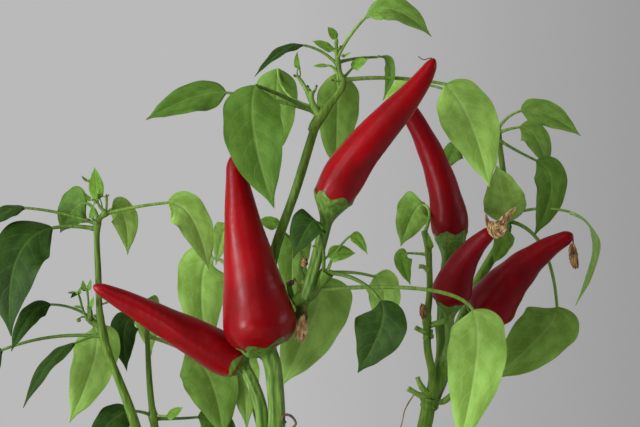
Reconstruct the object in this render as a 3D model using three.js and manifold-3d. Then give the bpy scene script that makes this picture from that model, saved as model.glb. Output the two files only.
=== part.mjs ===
// A chilli pepper plant in a plain clay pot: a short woody trunk that forks into several
// green boughs, shoots with long-stalked pointed leaves, and red cone-shaped chillies that
// stand up on thick ridged stalks. Millimetres, +Z up, X to the right and Y away from the
// viewer. The origin is the centre of the pot's flat underside.

import * as THREE from 'three';
import { mergeVertices } from 'three/addons/utils/BufferGeometryUtils.js';
import Module from 'manifold-3d';

const wasm = await Module();
wasm.setup();

// Driving dimensions

const GAP = 0.3;                    // clearance between pieces that meet
const FACET_TOLERANCE = 0.05;       // facets flatter than this are joined

const POT_HEIGHT = 125;
const POT_RIM_RADIUS = 76;
const POT_FOOT_RADIUS = 52;
const POT_WALL = 6;
const POT_FLOOR = 8;
const RIM_BAND = 26;                // height of the thicker band at the rim
const RIM_STEP = 4;                 // how far that band stands out
const DRAIN_RADIUS = 4;
const DRAIN_CIRCLE = 30;            // the drain holes lie on a circle of this radius
const SOIL_TOP = 112;

const TRUNK_FLARE = 1.6;            // how much wider the trunk is where it leaves the soil
const FLARE_LENGTH = 0.25;          // share of the trunk that flares

const PETIOLE_RADIUS = 0.85;
const LEAF_THINNEST = 0.35;         // half thickness of a small leaf's middle
const LEAF_THICKNESS = 1 / 110;     // half thickness of a leaf over its length
const LEAF_FOLD = 0.22;             // how far the sides rise from the midrib, over half the width
const BLADE_STATIONS = [0, 0.14, 0.38, 0.65, 0.87, 1];
const PLAIN_STATIONS = [0, 0.2, 0.58, 1];

const VIEW_EDGE_HEIGHT = 327;       // low shoots end below this height at y = 0
const VIEW_EDGE_SLOPE = -0.125;     // and by this much higher or lower for each mm of y
const KEEP_OFF = 6.5;               // a grown leaf this near to another piece is left out
const GOLDEN_ANGLE = 137.5;

// Finishes

const finish = (color, roughness) => new THREE.MeshStandardMaterial({ color, roughness, metalness: 0 });
const clay = () => finish(0xb0643f, 0.85);
const earth = () => finish(0x3b2a1e, 1);
const bark = () => finish(0x7a6a45, 0.8);
const greenStem = () => finish(0x4b7a2a, 0.55);
const foliage = () => finish(0x3f7323, 0.5);
const ripeSkin = () => finish(0xb10f14, 0.18);

// Vectors and curves

const point = (xyz) => new THREE.Vector3(...xyz);
const radians = THREE.MathUtils.degToRad;

// the unit vector at an azimuth (0 along +X, 90 along +Y) and a height above level, in degrees
function heading(azimuth, height) {
  const a = radians(azimuth);
  const h = radians(height);
  return new THREE.Vector3(Math.cos(a) * Math.cos(h), Math.sin(a) * Math.cos(h), Math.sin(h));
}

const azimuthOf = (v) => THREE.MathUtils.radToDeg(Math.atan2(v.y, v.x));
const smoothCurve = (points) => new THREE.CatmullRomCurve3(points.map(point), false, 'catmullrom', 0.5);
const mix = THREE.MathUtils.lerp;

// Solids

function solidOf(geometry) {
  const bare = geometry.clone();
  bare.deleteAttribute('normal');
  bare.deleteAttribute('uv');
  const shared = mergeVertices(bare, 1e-4);
  const vertProperties = new Float32Array(shared.attributes.position.array);
  const triVerts = new Uint32Array(shared.index.array);
  return new wasm.Manifold(new wasm.Mesh({ numProp: 3, vertProperties, triVerts }));
}

function geometryOf(solid) {
  const { vertProperties, triVerts } = solid.getMesh();
  const geometry = new THREE.BufferGeometry();
  geometry.setAttribute('position', new THREE.BufferAttribute(new Float32Array(vertProperties), 3));
  geometry.setIndex(new THREE.BufferAttribute(new Uint32Array(triVerts), 1));
  geometry.computeVertexNormals();
  return geometry;
}

const largestPiece = (solid) => solid.decompose().reduce((a, b) => (b.volume() > a.volume() ? b : a));

// a closed cylinder whose rings are moved by place(t, across, through): t runs from 0 to 1
// along it, and across and through are the place on the unit circle
function bentCylinder(sides, steps, place) {
  const geometry = new THREE.CylinderGeometry(1, 1, 1, sides, steps);
  const position = geometry.attributes.position;
  for (let i = 0; i < position.count; i += 1) {
    const moved = place(position.getY(i) + 0.5, position.getX(i), position.getZ(i));
    position.setXYZ(i, moved.x, moved.y, moved.z);
  }
  return solidOf(geometry);
}

// a round limb along a curve; grow makes it fatter and longer, to cut its neighbours clear
function limbSolid(curve, radiusAt, sides, steps, grow = 0) {
  return bentCylinder(sides, steps, (t, across, through) => {
    const forward = curve.getTangent(t);
    const side = new THREE.Vector3().crossVectors(forward, new THREE.Vector3(0, 1, 0)).normalize();
    const other = new THREE.Vector3().crossVectors(side, forward);
    const radius = radiusAt(t) + grow;
    const end = grow * (t === 1) - grow * (t === 0);
    return curve.getPoint(t)
      .addScaledVector(forward, end)
      .addScaledVector(side, across * radius)
      .addScaledVector(other, through * radius);
  });
}

function latheSolid(profile, segments) {
  const geometry = new THREE.LatheGeometry(profile.map(([r, z]) => new THREE.Vector2(r, z)), segments);
  geometry.rotateX(Math.PI / 2);
  return solidOf(geometry);
}

// The plant's pieces, by name, and the limbs and fruit that later pieces are cut clear of

const plant = new THREE.Group();
const cutters = [];

function addPiece(name, solid, material) {
  const mesh = new THREE.Mesh(geometryOf(solid.asOriginal().simplify(FACET_TOLERANCE)), material);
  mesh.name = name;
  plant.add(mesh);
}

function boxesMeet(a, b) {
  const p = a.boundingBox();
  const q = b.boundingBox();
  return [0, 1, 2].every((k) => p.min[k] <= q.max[k] && q.min[k] <= p.max[k]);
}

function clearOfLimbs(solid) {
  const near = cutters.filter((cutter) => boxesMeet(cutter, solid));
  const cut = near.reduce((rest, cutter) => rest.subtract(cutter), solid);
  return largestPiece(cut);
}

// Places that are taken, as points with a radius and the name of the piece they belong to

const taken = [];

function takeCurve(owner, curve, radiusAt, spacing = 4) {
  const steps = Math.ceil(curve.getLength() / spacing);
  for (let i = 0; i <= steps; i += 1) {
    taken.push({ owner, at: curve.getPoint(i / steps), radius: radiusAt(i / steps) });
  }
}

const isClear = (owner, places) => places.every((place) => taken.every(
  (other) => other.owner === owner || place.distanceTo(other.at) > other.radius + KEEP_OFF));

// Pot and soil

function addPot() {
  const stepHeight = POT_HEIGHT - RIM_BAND;
  const slope = (POT_RIM_RADIUS - RIM_STEP - POT_FOOT_RADIUS) / POT_HEIGHT;
  const outer = (z) => POT_FOOT_RADIUS + slope * z;
  const inner = (z) => outer(z) - POT_WALL;
  const chamfer = 2;
  const body = latheSolid([
    [0, 0],
    [POT_FOOT_RADIUS - chamfer, 0],
    [outer(chamfer), chamfer],
    [outer(stepHeight), stepHeight],
    [outer(stepHeight) + RIM_STEP, stepHeight + chamfer],
    [POT_RIM_RADIUS, POT_HEIGHT - chamfer],
    [POT_RIM_RADIUS - chamfer, POT_HEIGHT],
    [inner(POT_HEIGHT) + chamfer, POT_HEIGHT],
    [inner(POT_HEIGHT - chamfer), POT_HEIGHT - chamfer],
    [inner(POT_FLOOR), POT_FLOOR],
    [0, POT_FLOOR],
  ], 30);
  let pot = body;
  for (const azimuth of [30, 150, 270]) {
    const hole = new THREE.CylinderGeometry(DRAIN_RADIUS, DRAIN_RADIUS, 3 * POT_FLOOR, 12);
    hole.rotateX(Math.PI / 2);
    hole.translate(...heading(azimuth, 0).multiplyScalar(DRAIN_CIRCLE).toArray());
    pot = pot.subtract(solidOf(hole));
  }
  addPiece('pot', pot, clay());
  const soil = latheSolid([
    [0, POT_FLOOR + GAP],
    [inner(POT_FLOOR) - GAP, POT_FLOOR + GAP],
    [inner(SOIL_TOP) - GAP, SOIL_TOP],
    [0, SOIL_TOP],
  ], 30);
  addPiece('soil', soil, earth());
}

// Trunk and boughs: each row is one tapering limb, from its parent's middle to its tip

const TRUNK = {
  route: [[0, 0, SOIL_TOP + GAP], [0, 0, 122], [1, -1, 148], [3, 0, 178]],
  thick: [5.4, 4.6],
};

const BOUGHS = [
  { name: 'bough_left', thick: [3.8, 1.35],
    route: [[3, 0, 175], [-8, 3, 202], [-22, 8, 232], [-42, 14, 278], [-57, 22, 328], [-67.5, 22, 356]] },
  { name: 'bough_centre', thick: [4.2, 2.7],
    route: [[3, 0, 175], [5, 6, 215], [4, 12, 262], [-1, 13, 300], [-3.8, 12, 330]] },
  { name: 'bough_right', thick: [4, 2.6],
    route: [[3, 0, 175], [14, 8, 205], [30, 24, 248], [45, 40, 290], [54, 50, 324], [56.2, 50, 335]] },
  { name: 'bough_inner_left', thick: [2.8, 1.3],
    route: [[-22, 8, 232], [-33, 24, 262], [-45, 38, 295], [-51.8, 45, 324]] },
  { name: 'bough_tall', thick: [2.4, 1.5],
    route: [[-3.8, 12, 330], [-3.8, 14, 345], [-8, 18.5, 366], [-4.5, 12, 392], [4, 4, 417],
      [11.5, 1, 441]] },
  { name: 'bough_fruit', thick: [2.3, 1.9],
    route: [[-7, 17.6, 360], [-0.5, 16, 364], [5.2, 9.5, 370], [7.2, 0, 378]] },
  { name: 'bough_right_mid', thick: [2.5, 2.3],
    route: [[56.2, 50, 335], [60.5, 52, 345], [61.8, 55, 364]] },
  { name: 'bough_right_inner', thick: [1.7, 1.4],
    route: [[56.2, 50, 334], [57, 48, 344], [55, 47, 355], [54.8, 47.5, 366]] },
  { name: 'bough_right_upper', thick: [2.5, 1.7],
    route: [[56.2, 50, 332], [66, 64, 354], [76, 80, 376], [86, 84, 393], [89.8, 82, 402]] },
  { name: 'bough_back_left', thick: [2.6, 1.5],
    route: [[4, 12, 262], [-3, 38, 298], [-13, 60, 332], [-20, 72, 360]] },
  { name: 'bough_back', thick: [3.2, 2], route: [[2, 0, 162], [8, 22, 195], [14, 45, 235]] },
  { name: 'bough_low_front_left', thick: [3, 1.9], route: [[1, -1, 140], [-12, -16, 168], [-26, -34, 200]] },
  { name: 'bough_low_front_right', thick: [3, 1.9], route: [[2, 0, 152], [16, -14, 182], [32, -30, 212]] },
  { name: 'bough_low_left', thick: [2.4, 1.7], route: [[-19, 7, 226], [-38, 0, 244], [-58, -6, 262]] },
  { name: 'bough_low_right', thick: [2.4, 1.7], route: [[30, 24, 248], [52, 14, 262], [68, 8, 280]] },
  { name: 'bough_low_back_left', thick: [2.8, 1.8], route: [[1, 0, 148], [-14, 22, 180], [-32, 42, 212]] },
  { name: 'bough_low_back_right', thick: [2.6, 1.8], route: [[22, 16, 226], [38, 42, 250], [56, 62, 274]] },
];

function addTrunk() {
  const curve = smoothCurve(TRUNK.route);
  const radiusAt = (t) => {
    const flare = Math.max(0, 1 - t / FLARE_LENGTH);
    return mix(...TRUNK.thick, t) * (1 + (TRUNK_FLARE - 1) * flare * flare);
  };
  addPiece('trunk', limbSolid(curve, radiusAt, 12, 8), bark());
  cutters.push(limbSolid(curve, radiusAt, 12, 8, GAP));
  takeCurve('trunk', curve, radiusAt);
}

function addBough({ name, route, thick }) {
  const curve = smoothCurve(route);
  const radiusAt = (t) => mix(...thick, t);
  const steps = route.length + 2;
  const limb = limbSolid(curve, radiusAt, 7, steps);
  addPiece(name, clearOfLimbs(limb), greenStem());
  cutters.push(limbSolid(curve, radiusAt, 7, steps, GAP));
  takeCurve(name, curve, radiusAt);
}

// Chillies: axis from base over bend (and a second bend, crook) to tip, greatest radius, how
// much they narrow (slim) to the tip, and how long they stay full (full above 1). The foot is
// the radius of the base over the greatest one. The stalk's route runs from its bough to the
// chilli's base, and the calyx is the radius of the green cup there.

const SHOULDER = 0.14;              // share of a chilli's length at its greatest radius
const BASE_SHARE = 0.6;             // the usual foot
const TIP_ROUND = 0.93;             // from this share on the tip rounds off
const TIP_POINT = 0.02;             // radius left at the tip, over the radius before it

const CHILLIES = [
  { base: [-7.6, 0, 359.5], bend: [-14.3, -1, 391], tip: [-18.5, 0, 429.5], radius: 14.1, slim: 0.8,
    calyx: 8.4, stalk: [[-3.8, 12, 316], [-4.6, 4, 322], [-3, 0, 332], [-3.6, 0, 345], [-4.9, 0, 354]],
    thick: 3.1 },
  { base: [-17.6, 14, 352.2], bend: [-42, 11, 366.6], tip: [-70.7, 5.5, 381.4], radius: 7.8,
    slim: 0.74, full: 1.4, foot: 0.8, calyx: 5.8,
    stalk: [[-1.6, 12.8, 304], [-7.5, 9, 320], [-9, 8.5, 336], [-13.7, 11, 348]], thick: 2.1 },
  { base: [17.3, -2, 413], bend: [24.4, -4, 432.6], crook: [48.6, -6, 449.4],
    tip: [54, -6, 464], radius: 7.9, slim: 0.78, full: 1.4, foot: 0.9, calyx: 7,
    stalk: [[7, -0.6, 377], [9.4, -1.5, 384], [12, -1.5, 393], [14.7, -2, 403.5]], thick: 2 },
  { base: [65, 60, 397.4], bend: [64.5, 60, 424], tip: [46.5, 60, 452], radius: 7.9, slim: 0.58,
    calyx: 6.4, stalk: [[61.8, 55.2, 364.2], [62, 57.2, 374], [63.6, 60, 388]], thick: 2.3 },
  { base: [63.6, 44, 373], bend: [65.2, 38, 390], tip: [78.8, 28, 401.6], radius: 8.1, slim: 0.7,
    calyx: 5.6, stalk: [[60.6, 52.4, 346], [63.6, 47.5, 356], [63.4, 45, 366]], thick: 1.8 },
  { base: [78.6, 65, 365], bend: [90.5, 61, 389], tip: [113.5, 56, 399.5], radius: 10.5, slim: 0.77,
    calyx: 6.6, stalk: [[60, 56, 341], [67, 61, 346], [74, 65, 356]], thick: 1.9 },
  { base: [-13, -36, 226], bend: [-11, -42, 250], tip: [-3, -44, 272], radius: 9, slim: 0.75,
    calyx: 6, stalk: [[-20.5, -27, 188], [-17, -32, 202], [-14, -35, 217]], thick: 2 },
  { base: [57, -4, 282], bend: [59, -10, 300], tip: [68, -14, 319], radius: 8.4, slim: 0.72,
    calyx: 5.8, stalk: [[50, 15, 261], [53, 4, 265], [56, -3, 274]], thick: 1.9 },
  { base: [27, 53, 252], bend: [35, 57, 272], tip: [42, 64, 294], radius: 9.4, slim: 0.76,
    calyx: 6.2, stalk: [[10.5, 32, 212], [18, 42, 224], [24, 50, 242]], thick: 2 },
  { base: [-50, -18, 272], bend: [-51, -26, 292], tip: [-45, -32, 314], radius: 8.6, slim: 0.74,
    calyx: 5.9, stalk: [[-40, -1, 246], [-44, -9, 252], [-48.5, -16, 264]], thick: 1.9 },
];

// a chilli's radius at t along its axis: a rounded shoulder, then an even taper to a round tip
function chilliRadius({ radius, slim, full = 0.85, foot = BASE_SHARE }, t) {
  if (t < SHOULDER) {
    const fall = 1 - t / SHOULDER;
    return radius * Math.sqrt(1 - (1 - foot ** 2) * fall * fall);
  }
  const body = radius * (1 - slim * ((t - SHOULDER) / (1 - SHOULDER)) ** full);
  const rounding = Math.max(0, (t - TIP_ROUND) / (1 - TIP_ROUND));
  return body * Math.max(TIP_POINT, Math.sqrt(1 - rounding * rounding));
}

function chilliAxis({ base, bend, crook, tip }) {
  const ends = [point(base), point(bend), point(tip)];
  if (!crook) return new THREE.QuadraticBezierCurve3(...ends);
  ends.splice(2, 0, point(crook));
  return new THREE.CubicBezierCurve3(...ends);
}

function chilliSolid(row, grow = 0) {
  const axis = chilliAxis(row);
  const stations = [0, 0.03, 0.08, 0.18, 0.38, 0.6, 0.8, 0.93, 0.98, 1];
  return bentCylinder(10, stations.length - 1, (level, across, through) => {
    const t = stations[Math.round(level * (stations.length - 1))];
    const forward = axis.getTangent(t);
    const side = new THREE.Vector3().crossVectors(forward, new THREE.Vector3(0, 1, 0)).normalize();
    const other = new THREE.Vector3().crossVectors(side, forward);
    const radius = chilliRadius(row, t) + grow;
    const end = grow * (t === 1) - grow * (t === 0);
    return axis.getPoint(t)
      .addScaledVector(forward, end)
      .addScaledVector(side, across * radius)
      .addScaledVector(other, through * radius);
  });
}

// the stalk's radius swells into the calyx, the green cup that holds the chilli's base
const CUP_DEPTH = 0.07;             // how far up the chilli the cup reaches, over its length

function stalkSolid(row, grow = 0) {
  const axis = chilliAxis(row);
  const length = axis.getLength();
  const rim = point(row.base).addScaledVector(axis.getTangent(0), CUP_DEPTH * length);
  const curve = smoothCurve([...row.stalk, row.base, rim.toArray()]);
  const spans = row.stalk.length + 1;
  const cup = (t) => t * spans - (spans - 2);
  const radiusAt = (t) => mix(row.thick, row.calyx, THREE.MathUtils.smoothstep(cup(t), 0, 1));
  return limbSolid(curve, radiusAt, 8, 9, grow);
}

function addChilli(row, index) {
  addPiece(`chilli_${index + 1}`, chilliSolid(row), ripeSkin());
  cutters.push(chilliSolid(row, GAP));
  addPiece(`stalk_${index + 1}`, clearOfLimbs(stalkSolid(row)), greenStem());
  cutters.push(stalkSolid(row, GAP));
  takeCurve(`chilli_${index + 1}`, chilliAxis(row), (t) => chilliRadius(row, t));
  takeCurve(`stalk_${index + 1}`, smoothCurve([...row.stalk, row.base]), () => row.thick);
}

// Leaves: at is the share along the mass's stem where the leaf stalk leaves it, base and tip
// are the blade's ends, wide its width, face and up the azimuth and height that its upper
// side looks to, lift the slope of the leaf stalk where it meets the blade and dip that of the
// blade's midrib there, where it isn't the same, bow how far that slope carries into the blade,
// rise how far it carries back into the leaf stalk, and turn its azimuth where it isn't the way
// to the tip.

function leafShape(stem, leaf) {
  const root = stem.getPoint(leaf.at);
  const base = point(leaf.base);
  const tip = point(leaf.tip);
  const toTip = tip.clone().sub(root);
  const set = heading(leaf.turn ?? azimuthOf(toTip), leaf.lift ?? 0);
  const length = base.distanceTo(tip);
  const fall = heading(leaf.turn ?? azimuthOf(toTip), leaf.dip ?? leaf.lift ?? 0);
  const carry = base.clone().addScaledVector(fall, (leaf.bow ?? 0.35) * length);
  const rise = base.clone().addScaledVector(set, -(leaf.rise ?? 0.5) * root.distanceTo(base));
  const face = heading(leaf.face ?? 270, leaf.up ?? 30);
  return {
    petiole: new THREE.QuadraticBezierCurve3(root, rise, base),
    blade: new THREE.QuadraticBezierCurve3(base, carry, tip),
    across: tip.clone().sub(base).cross(face).normalize(),
    length,
    half: leaf.wide / 2,
    fold: leaf.fold ?? LEAF_FOLD,
  };
}

// half the blade's width at s along it, over its greatest: ovate, with a long point
const bladeOutline = (s) => (s ** 0.75 * (1 - s) ** 0.95) / 0.3115;

// the two directions across the midrib where it runs along forward
function leafAxes(shape, forward) {
  const side = shape.across.clone().addScaledVector(forward, -shape.across.dot(forward)).normalize();
  const upper = new THREE.Vector3().crossVectors(side, forward);
  return [side, upper];
}

// the leaf's cross-section where its midrib is at middle and runs along forward
function leafRing(shape, middle, forward, half, thick, fold) {
  const [side, upper] = leafAxes(shape, forward);
  const corner = (across, rise) =>
    middle.clone().addScaledVector(side, across).addScaledVector(upper, rise);
  return {
    top: corner(0, thick),
    under: corner(0, -thick),
    left: corner(-half, fold * half),
    right: corner(half, fold * half),
  };
}

// a leaf is a chain of wedges on either side of its midrib, from the leaf stalk's root to the tip
function leafSolid(shape, petioleSteps, stations) {
  const rings = [];
  for (let i = 0; i < petioleSteps; i += 1) {
    const u = i / petioleSteps;
    rings.push(leafRing(shape, shape.petiole.getPoint(u), shape.petiole.getTangent(u),
      PETIOLE_RADIUS, PETIOLE_RADIUS, 0));
  }
  const middle = Math.max(LEAF_THINNEST, shape.length * LEAF_THICKNESS);
  for (const s of stations) {
    const half = Math.max(shape.half * bladeOutline(s), s === 0 ? PETIOLE_RADIUS : middle);
    rings.push(leafRing(shape, shape.blade.getPoint(s), shape.blade.getTangent(s),
      half, middle, shape.fold));
  }
  const wedges = [];
  for (let i = 1; i < rings.length; i += 1) {
    for (const edge of ['left', 'right']) {
      const corners = [rings[i - 1], rings[i]].flatMap((ring) => [ring.top, ring.under, ring[edge]]);
      wedges.push(wasm.Manifold.hull(corners.map((corner) => corner.toArray())));
    }
  }
  return wasm.Manifold.union(wedges);
}

// places on a leaf that must stay clear of other pieces
function leafPlaces(shape) {
  const places = [0.5, 0.75, 1].map((u) => shape.petiole.getPoint(u));
  for (let i = 1; i <= 8; i += 1) {
    const s = i / 8;
    const [side, upper] = leafAxes(shape, shape.blade.getTangent(s));
    for (const share of [-1, -0.5, 0, 0.5, 1]) {
      const half = shape.half * bladeOutline(s);
      places.push(shape.blade.getPoint(s)
        .addScaledVector(side, share * half)
        .addScaledVector(upper, Math.abs(share) * shape.fold * half));
    }
  }
  return places;
}

// Masses whose leaves are each set in their own place

const SET_MASSES = [
  { name: 'foliage_left', thick: [1.35, 1],
    stem: [[-67.5, 22, 356], [-70.2, 22, 368], [-71, 22, 385], [-71.4, 22, 403], [-67.9, 22, 408.5]],
    leaves: [
      { at: 0.73, base: [-88, 19.7, 402.4], tip: [-102, 12, 362],
        wide: 23, face: 262, lift: -11, bow: 0.45 },
      { at: 0.77, base: [-99, 23, 410], tip: [-121, 22, 392], wide: 11, face: 235, up: 50, lift: 4 },
      { at: 0.79, base: [-77, 31, 412], tip: [-87.5, 36, 400.4], wide: 15.5, lift: 12 },
      { at: 1, base: [-71.3, 22, 413], tip: [-72.5, 23, 425.5], wide: 5.6, up: 5, lift: 85 },
      { at: 0.97, base: [-67, 24.5, 409], tip: [-60.5, 27, 391.8],
        wide: 10.8, face: 280, lift: 25, bow: 0.5 },
      { at: 0.95, base: [-45, 25, 412], tip: [-29.5, 27, 386], wide: 14.5, face: 275, lift: 5 },
      { at: 0.2, base: [-89, 22, 373.5], tip: [-103, 17, 356], wide: 8.5, face: 255, lift: 0 },
      { at: 0.12, base: [-108, 25, 356], tip: [-127, 24, 334], wide: 15, face: 250, lift: -22 },
      { at: 0.16, base: [-80, 22, 358.8], tip: [-99, 20, 334.6], wide: 9, face: 225, up: 40, lift: -22 },
      { at: 0.26, base: [-74, 33, 364.5], tip: [-84, 35, 327],
        wide: 17.5, face: 275, lift: -60, bow: 0.24, turn: 0 },
    ] },
  { name: 'foliage_inner_left', thick: [1.3, 0.9],
    stem: [[-51.8, 45, 324], [-53.7, 45, 339], [-54.6, 45, 355], [-54.9, 45, 367]],
    leaves: [
      { at: 0.97, base: [-59.4, 44, 366.8], tip: [-62.4, 42, 346.3], wide: 11.5, face: 265, lift: 12 },
      { at: 0.95, base: [-58, 54, 373], tip: [-54.5, 58, 351], wide: 12, face: 275, lift: 20 },
      { at: 0.8, base: [-40, 48, 354], tip: [-25, 46, 319], wide: 21, face: 270, lift: -25 },
      { at: 0.12, base: [-47, 43, 329], tip: [-40.5, 42, 332.5], wide: 4.4, up: 40, lift: 10 },
      { at: 0.1, base: [-60.5, 41, 331], tip: [-77, 37, 316], wide: 13, face: 255, lift: 0 },
      { at: 0.08, base: [-35, 47, 328], tip: [-20, 48, 307], wide: 13, face: 275, lift: 5 },
    ] },
  { name: 'foliage_top', thick: [1.5, 0.55],
    stem: [[11.5, 1, 441], [15, 0, 446], [19, 0, 451], [21.3, 0, 455.5], [19.8, 0, 460], [19, 0, 466],
      [18.6, 0, 471]],
    leaves: [
      { at: 0.1, base: [-22, 9, 452.6], tip: [-51.5, 6, 442.3], wide: 13, up: 25, lift: 6 },
      { at: 0.08, base: [-10.5, -8, 454], tip: [-3.5, -12, 409.5],
        wide: 21.5, face: 266, lift: 12, dip: -66, bow: 0.3 },
      { at: 0.17, base: [-2.9, 14, 462], tip: [-4.6, 20, 428], wide: 16, up: 5, lift: 85, dip: -84 },
      { at: 0.45, base: [19.5, 17, 460.6], tip: [18.8, 22, 423.6], wide: 15.7, up: 5, lift: 85, dip: -84 },
      { at: 0.72, base: [6.5, 0, 469.3], tip: [-11, -3, 457.5], wide: 6.4, face: 270, up: 60, lift: 8 },
      { at: 0.8, base: [29.5, 0, 479.5], tip: [53.5, -2, 472],
        wide: 13, face: 275, up: 40, lift: 45, bow: 0.5 },
      { at: 0.56, base: [24.5, 2, 461], tip: [30.5, 1, 464.2], wide: 4.6, lift: 50 },
      { at: 0.75, base: [34, 6, 465.5], tip: [36, 9, 449.5],
        wide: 9.5, face: 205, up: 15, lift: 0, bow: 0.55, turn: 0 },
      { at: 0.54, base: [59.5, 12, 456], tip: [75.5, 9, 417.5],
        wide: 20.5, face: 260, lift: -10, dip: -42 },
      { at: 0.97, base: [18.8, 0, 471.5], tip: [15.5, -1, 476], wide: 3.4, lift: 60 },
      { at: 0.88, base: [17.6, 0, 467.5], tip: [10, -1, 470.8], wide: 3.6, lift: 30 },
    ] },
  { name: 'foliage_centre', thick: [1.9, 1.5],
    stem: [[7.2, 0, 378], [11, 1.5, 380.5], [15.5, -1, 386.5]],
    leaves: [
      { at: 0.8, base: [12.6, -9, 403.5], tip: [3, -13, 391.5],
        wide: 14.5, face: 262, lift: 68, bow: 0.5, fold: 0.4 },
      { at: 0.95, base: [15.6, -4, 392.3], tip: [25.8, -3, 393.4], wide: 6.4, face: 275, lift: 35 },
      { at: 1, base: [23.3, -6, 399.5], tip: [30, -7, 393], wide: 4.6, face: 280, lift: 40 },
      { at: 1, base: [34.6, -8, 376.3], tip: [26.3, -9, 350.5],
        wide: 19.5, face: 262, lift: -52, bow: 0.3 },
      { at: 0.97, base: [33, 9, 384.5], tip: [35, 12, 362], wide: 12.5, face: 275, lift: -15 },
      { at: 0.2, base: [13, 24, 383], tip: [-2.5, 33, 341],
        wide: 25.5, face: 272, lift: -65, bow: 0.16, turn: 0 },
      { at: 0.12, base: [4, 20, 398.5], tip: [2, 26, 371], wide: 13, lift: 20 },
      { at: 0.42, base: [69.5, 10, 372], tip: [63.5, 6, 320],
        wide: 21.5, face: 266, lift: -62, bow: 0.22, rise: 0.22 },
      { at: 0.3, base: [-3, 15, 403], tip: [-10.5, 17, 405.5], wide: 5.5, lift: 30 },
    ] },
  { name: 'foliage_right_inner', thick: [1.4, 1],
    stem: [[54.8, 47.5, 366], [56, 49, 378], [55.5, 50, 392], [54, 52, 401]],
    leaves: [
      { at: 0.97, base: [54.5, 66, 411.5], tip: [45.4, 68, 394.5], wide: 14.5, face: 272, lift: 10 },
      { at: 0.66, base: [47.5, 50, 392.3], tip: [48.6, 50, 379.5], wide: 7, face: 262, lift: 2, turn: 180 },
    ] },
  { name: 'foliage_right', thick: [1.7, 1],
    stem: [[89.8, 82, 402], [90, 82, 408], [88.5, 83, 425], [86, 83, 444]],
    leaves: [
      { at: 0.97, base: [96.2, 85, 450.5], tip: [121, 85, 440], wide: 12, face: 275, up: 20, lift: 15 },
      { at: 0.95, base: [95, 80, 443.4], tip: [106.6, 79, 425.5], wide: 12.5, face: 275, lift: 5 },
      { at: 0.9, base: [101.2, 74, 429.5], tip: [99.5, 70, 398.5],
        wide: 13, face: 265, lift: -25, bow: 0.45, turn: 0 },
      { at: 0.3, base: [89, 74, 404], tip: [84, 66, 427.5],
        wide: 17, face: 262, up: 10, lift: 70, fold: 0.3 },
      { at: 0.3, base: [114.5, 71, 408.5], tip: [115.5, 64, 370.7],
        wide: 13, face: 345, up: 15, lift: -15, bow: 0.5, turn: 0 },
      { at: 0.2, base: [110, 77, 369.5], tip: [82, 76, 339],
        wide: 25, face: 262, lift: -86, bow: 0.2, rise: 0.8, turn: 0 },
      { at: 0.06, base: [89.5, 75, 401], tip: [83.5, 72, 387.5], wide: 8, face: 265, lift: -60 },
      { at: 0.95, base: [72, 89, 435.5], tip: [65, 89, 426], wide: 9, lift: -5 },
      { at: 1, base: [54, 84, 461.5], tip: [39, 82, 455], wide: 10, up: 45, lift: 5 },
    ] },
  { name: 'foliage_back_left', thick: [1.5, 1],
    stem: [[-20, 72, 360], [-23, 75, 372], [-24.5, 76, 386]],
    leaves: [
      { at: 0.95, base: [-31, 78, 389.5], tip: [-33.5, 76, 349], wide: 21, face: 270, lift: 0, bow: 0.2 },
      { at: 0.97, base: [-23.5, 64, 403], tip: [-29, 60, 387], wide: 8.5, face: 265, lift: 40 },
      { at: 0.6, base: [-12, 84, 379], tip: [6, 88, 352], wide: 20, face: 90, lift: 15 },
      { at: 0.25, base: [-20, 61, 353], tip: [-16, 50, 322], wide: 13, face: 270, lift: 0 },
    ] },
];

// Masses that grow by rule: the stem runs to reach, side twigs leave it in turn, and leaves
// stand round both

const GROWN_MASSES = [
  { name: 'foliage_back', seed: 11, start: [14, 45, 235], reach: [20, 74, 290] },
  { name: 'foliage_low_front_left', seed: 23, start: [-26, -34, 200], reach: [-44, -58, 258] },
  { name: 'foliage_low_front_right', seed: 37, start: [32, -30, 212], reach: [52, -56, 270] },
  { name: 'foliage_low_left', seed: 41, start: [-58, -6, 262], reach: [-86, -8, 298] },
  { name: 'foliage_low_right', seed: 53, start: [68, 8, 280], reach: [92, 6, 306] },
  { name: 'foliage_low_back_left', seed: 67, start: [-32, 42, 212], reach: [-54, 66, 270] },
  { name: 'foliage_low_back_right', seed: 79, start: [56, 62, 274], reach: [72, 84, 300] },
];

const STEM_THICK = [1.8, 1.1];
const TWIG_THICK = [1.2, 0.8];
const TWIG_SHARES = [0.3, 0.62];
const STEM_LEAVES = [0.2, 0.36, 0.5, 0.64, 0.78, 0.9, 1];
const TWIG_LEAVES = [0.55, 0.8, 1];

// a repeatable run of numbers between 0 and 1
function seededRun(seed) {
  let state = seed;
  return () => {
    state = (state * 1664525 + 1013904223) % 4294967296;
    return state / 4294967296;
  };
}

function stemOf(mass) {
  const start = point(mass.start);
  const reach = point(mass.reach);
  const bend = start.clone().lerp(reach, 0.5);
  const out = reach.clone().sub(start).setZ(0).multiplyScalar(0.18);
  return new THREE.QuadraticBezierCurve3(start, bend.add(out), reach);
}

function twigOf(stem, share, azimuth, length) {
  const root = stem.getPoint(share);
  const bend = root.clone().addScaledVector(heading(azimuth, 20), length / 2);
  const tip = root.clone().addScaledVector(heading(azimuth, 32), length);
  return new THREE.QuadraticBezierCurve3(root, bend, tip);
}

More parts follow.
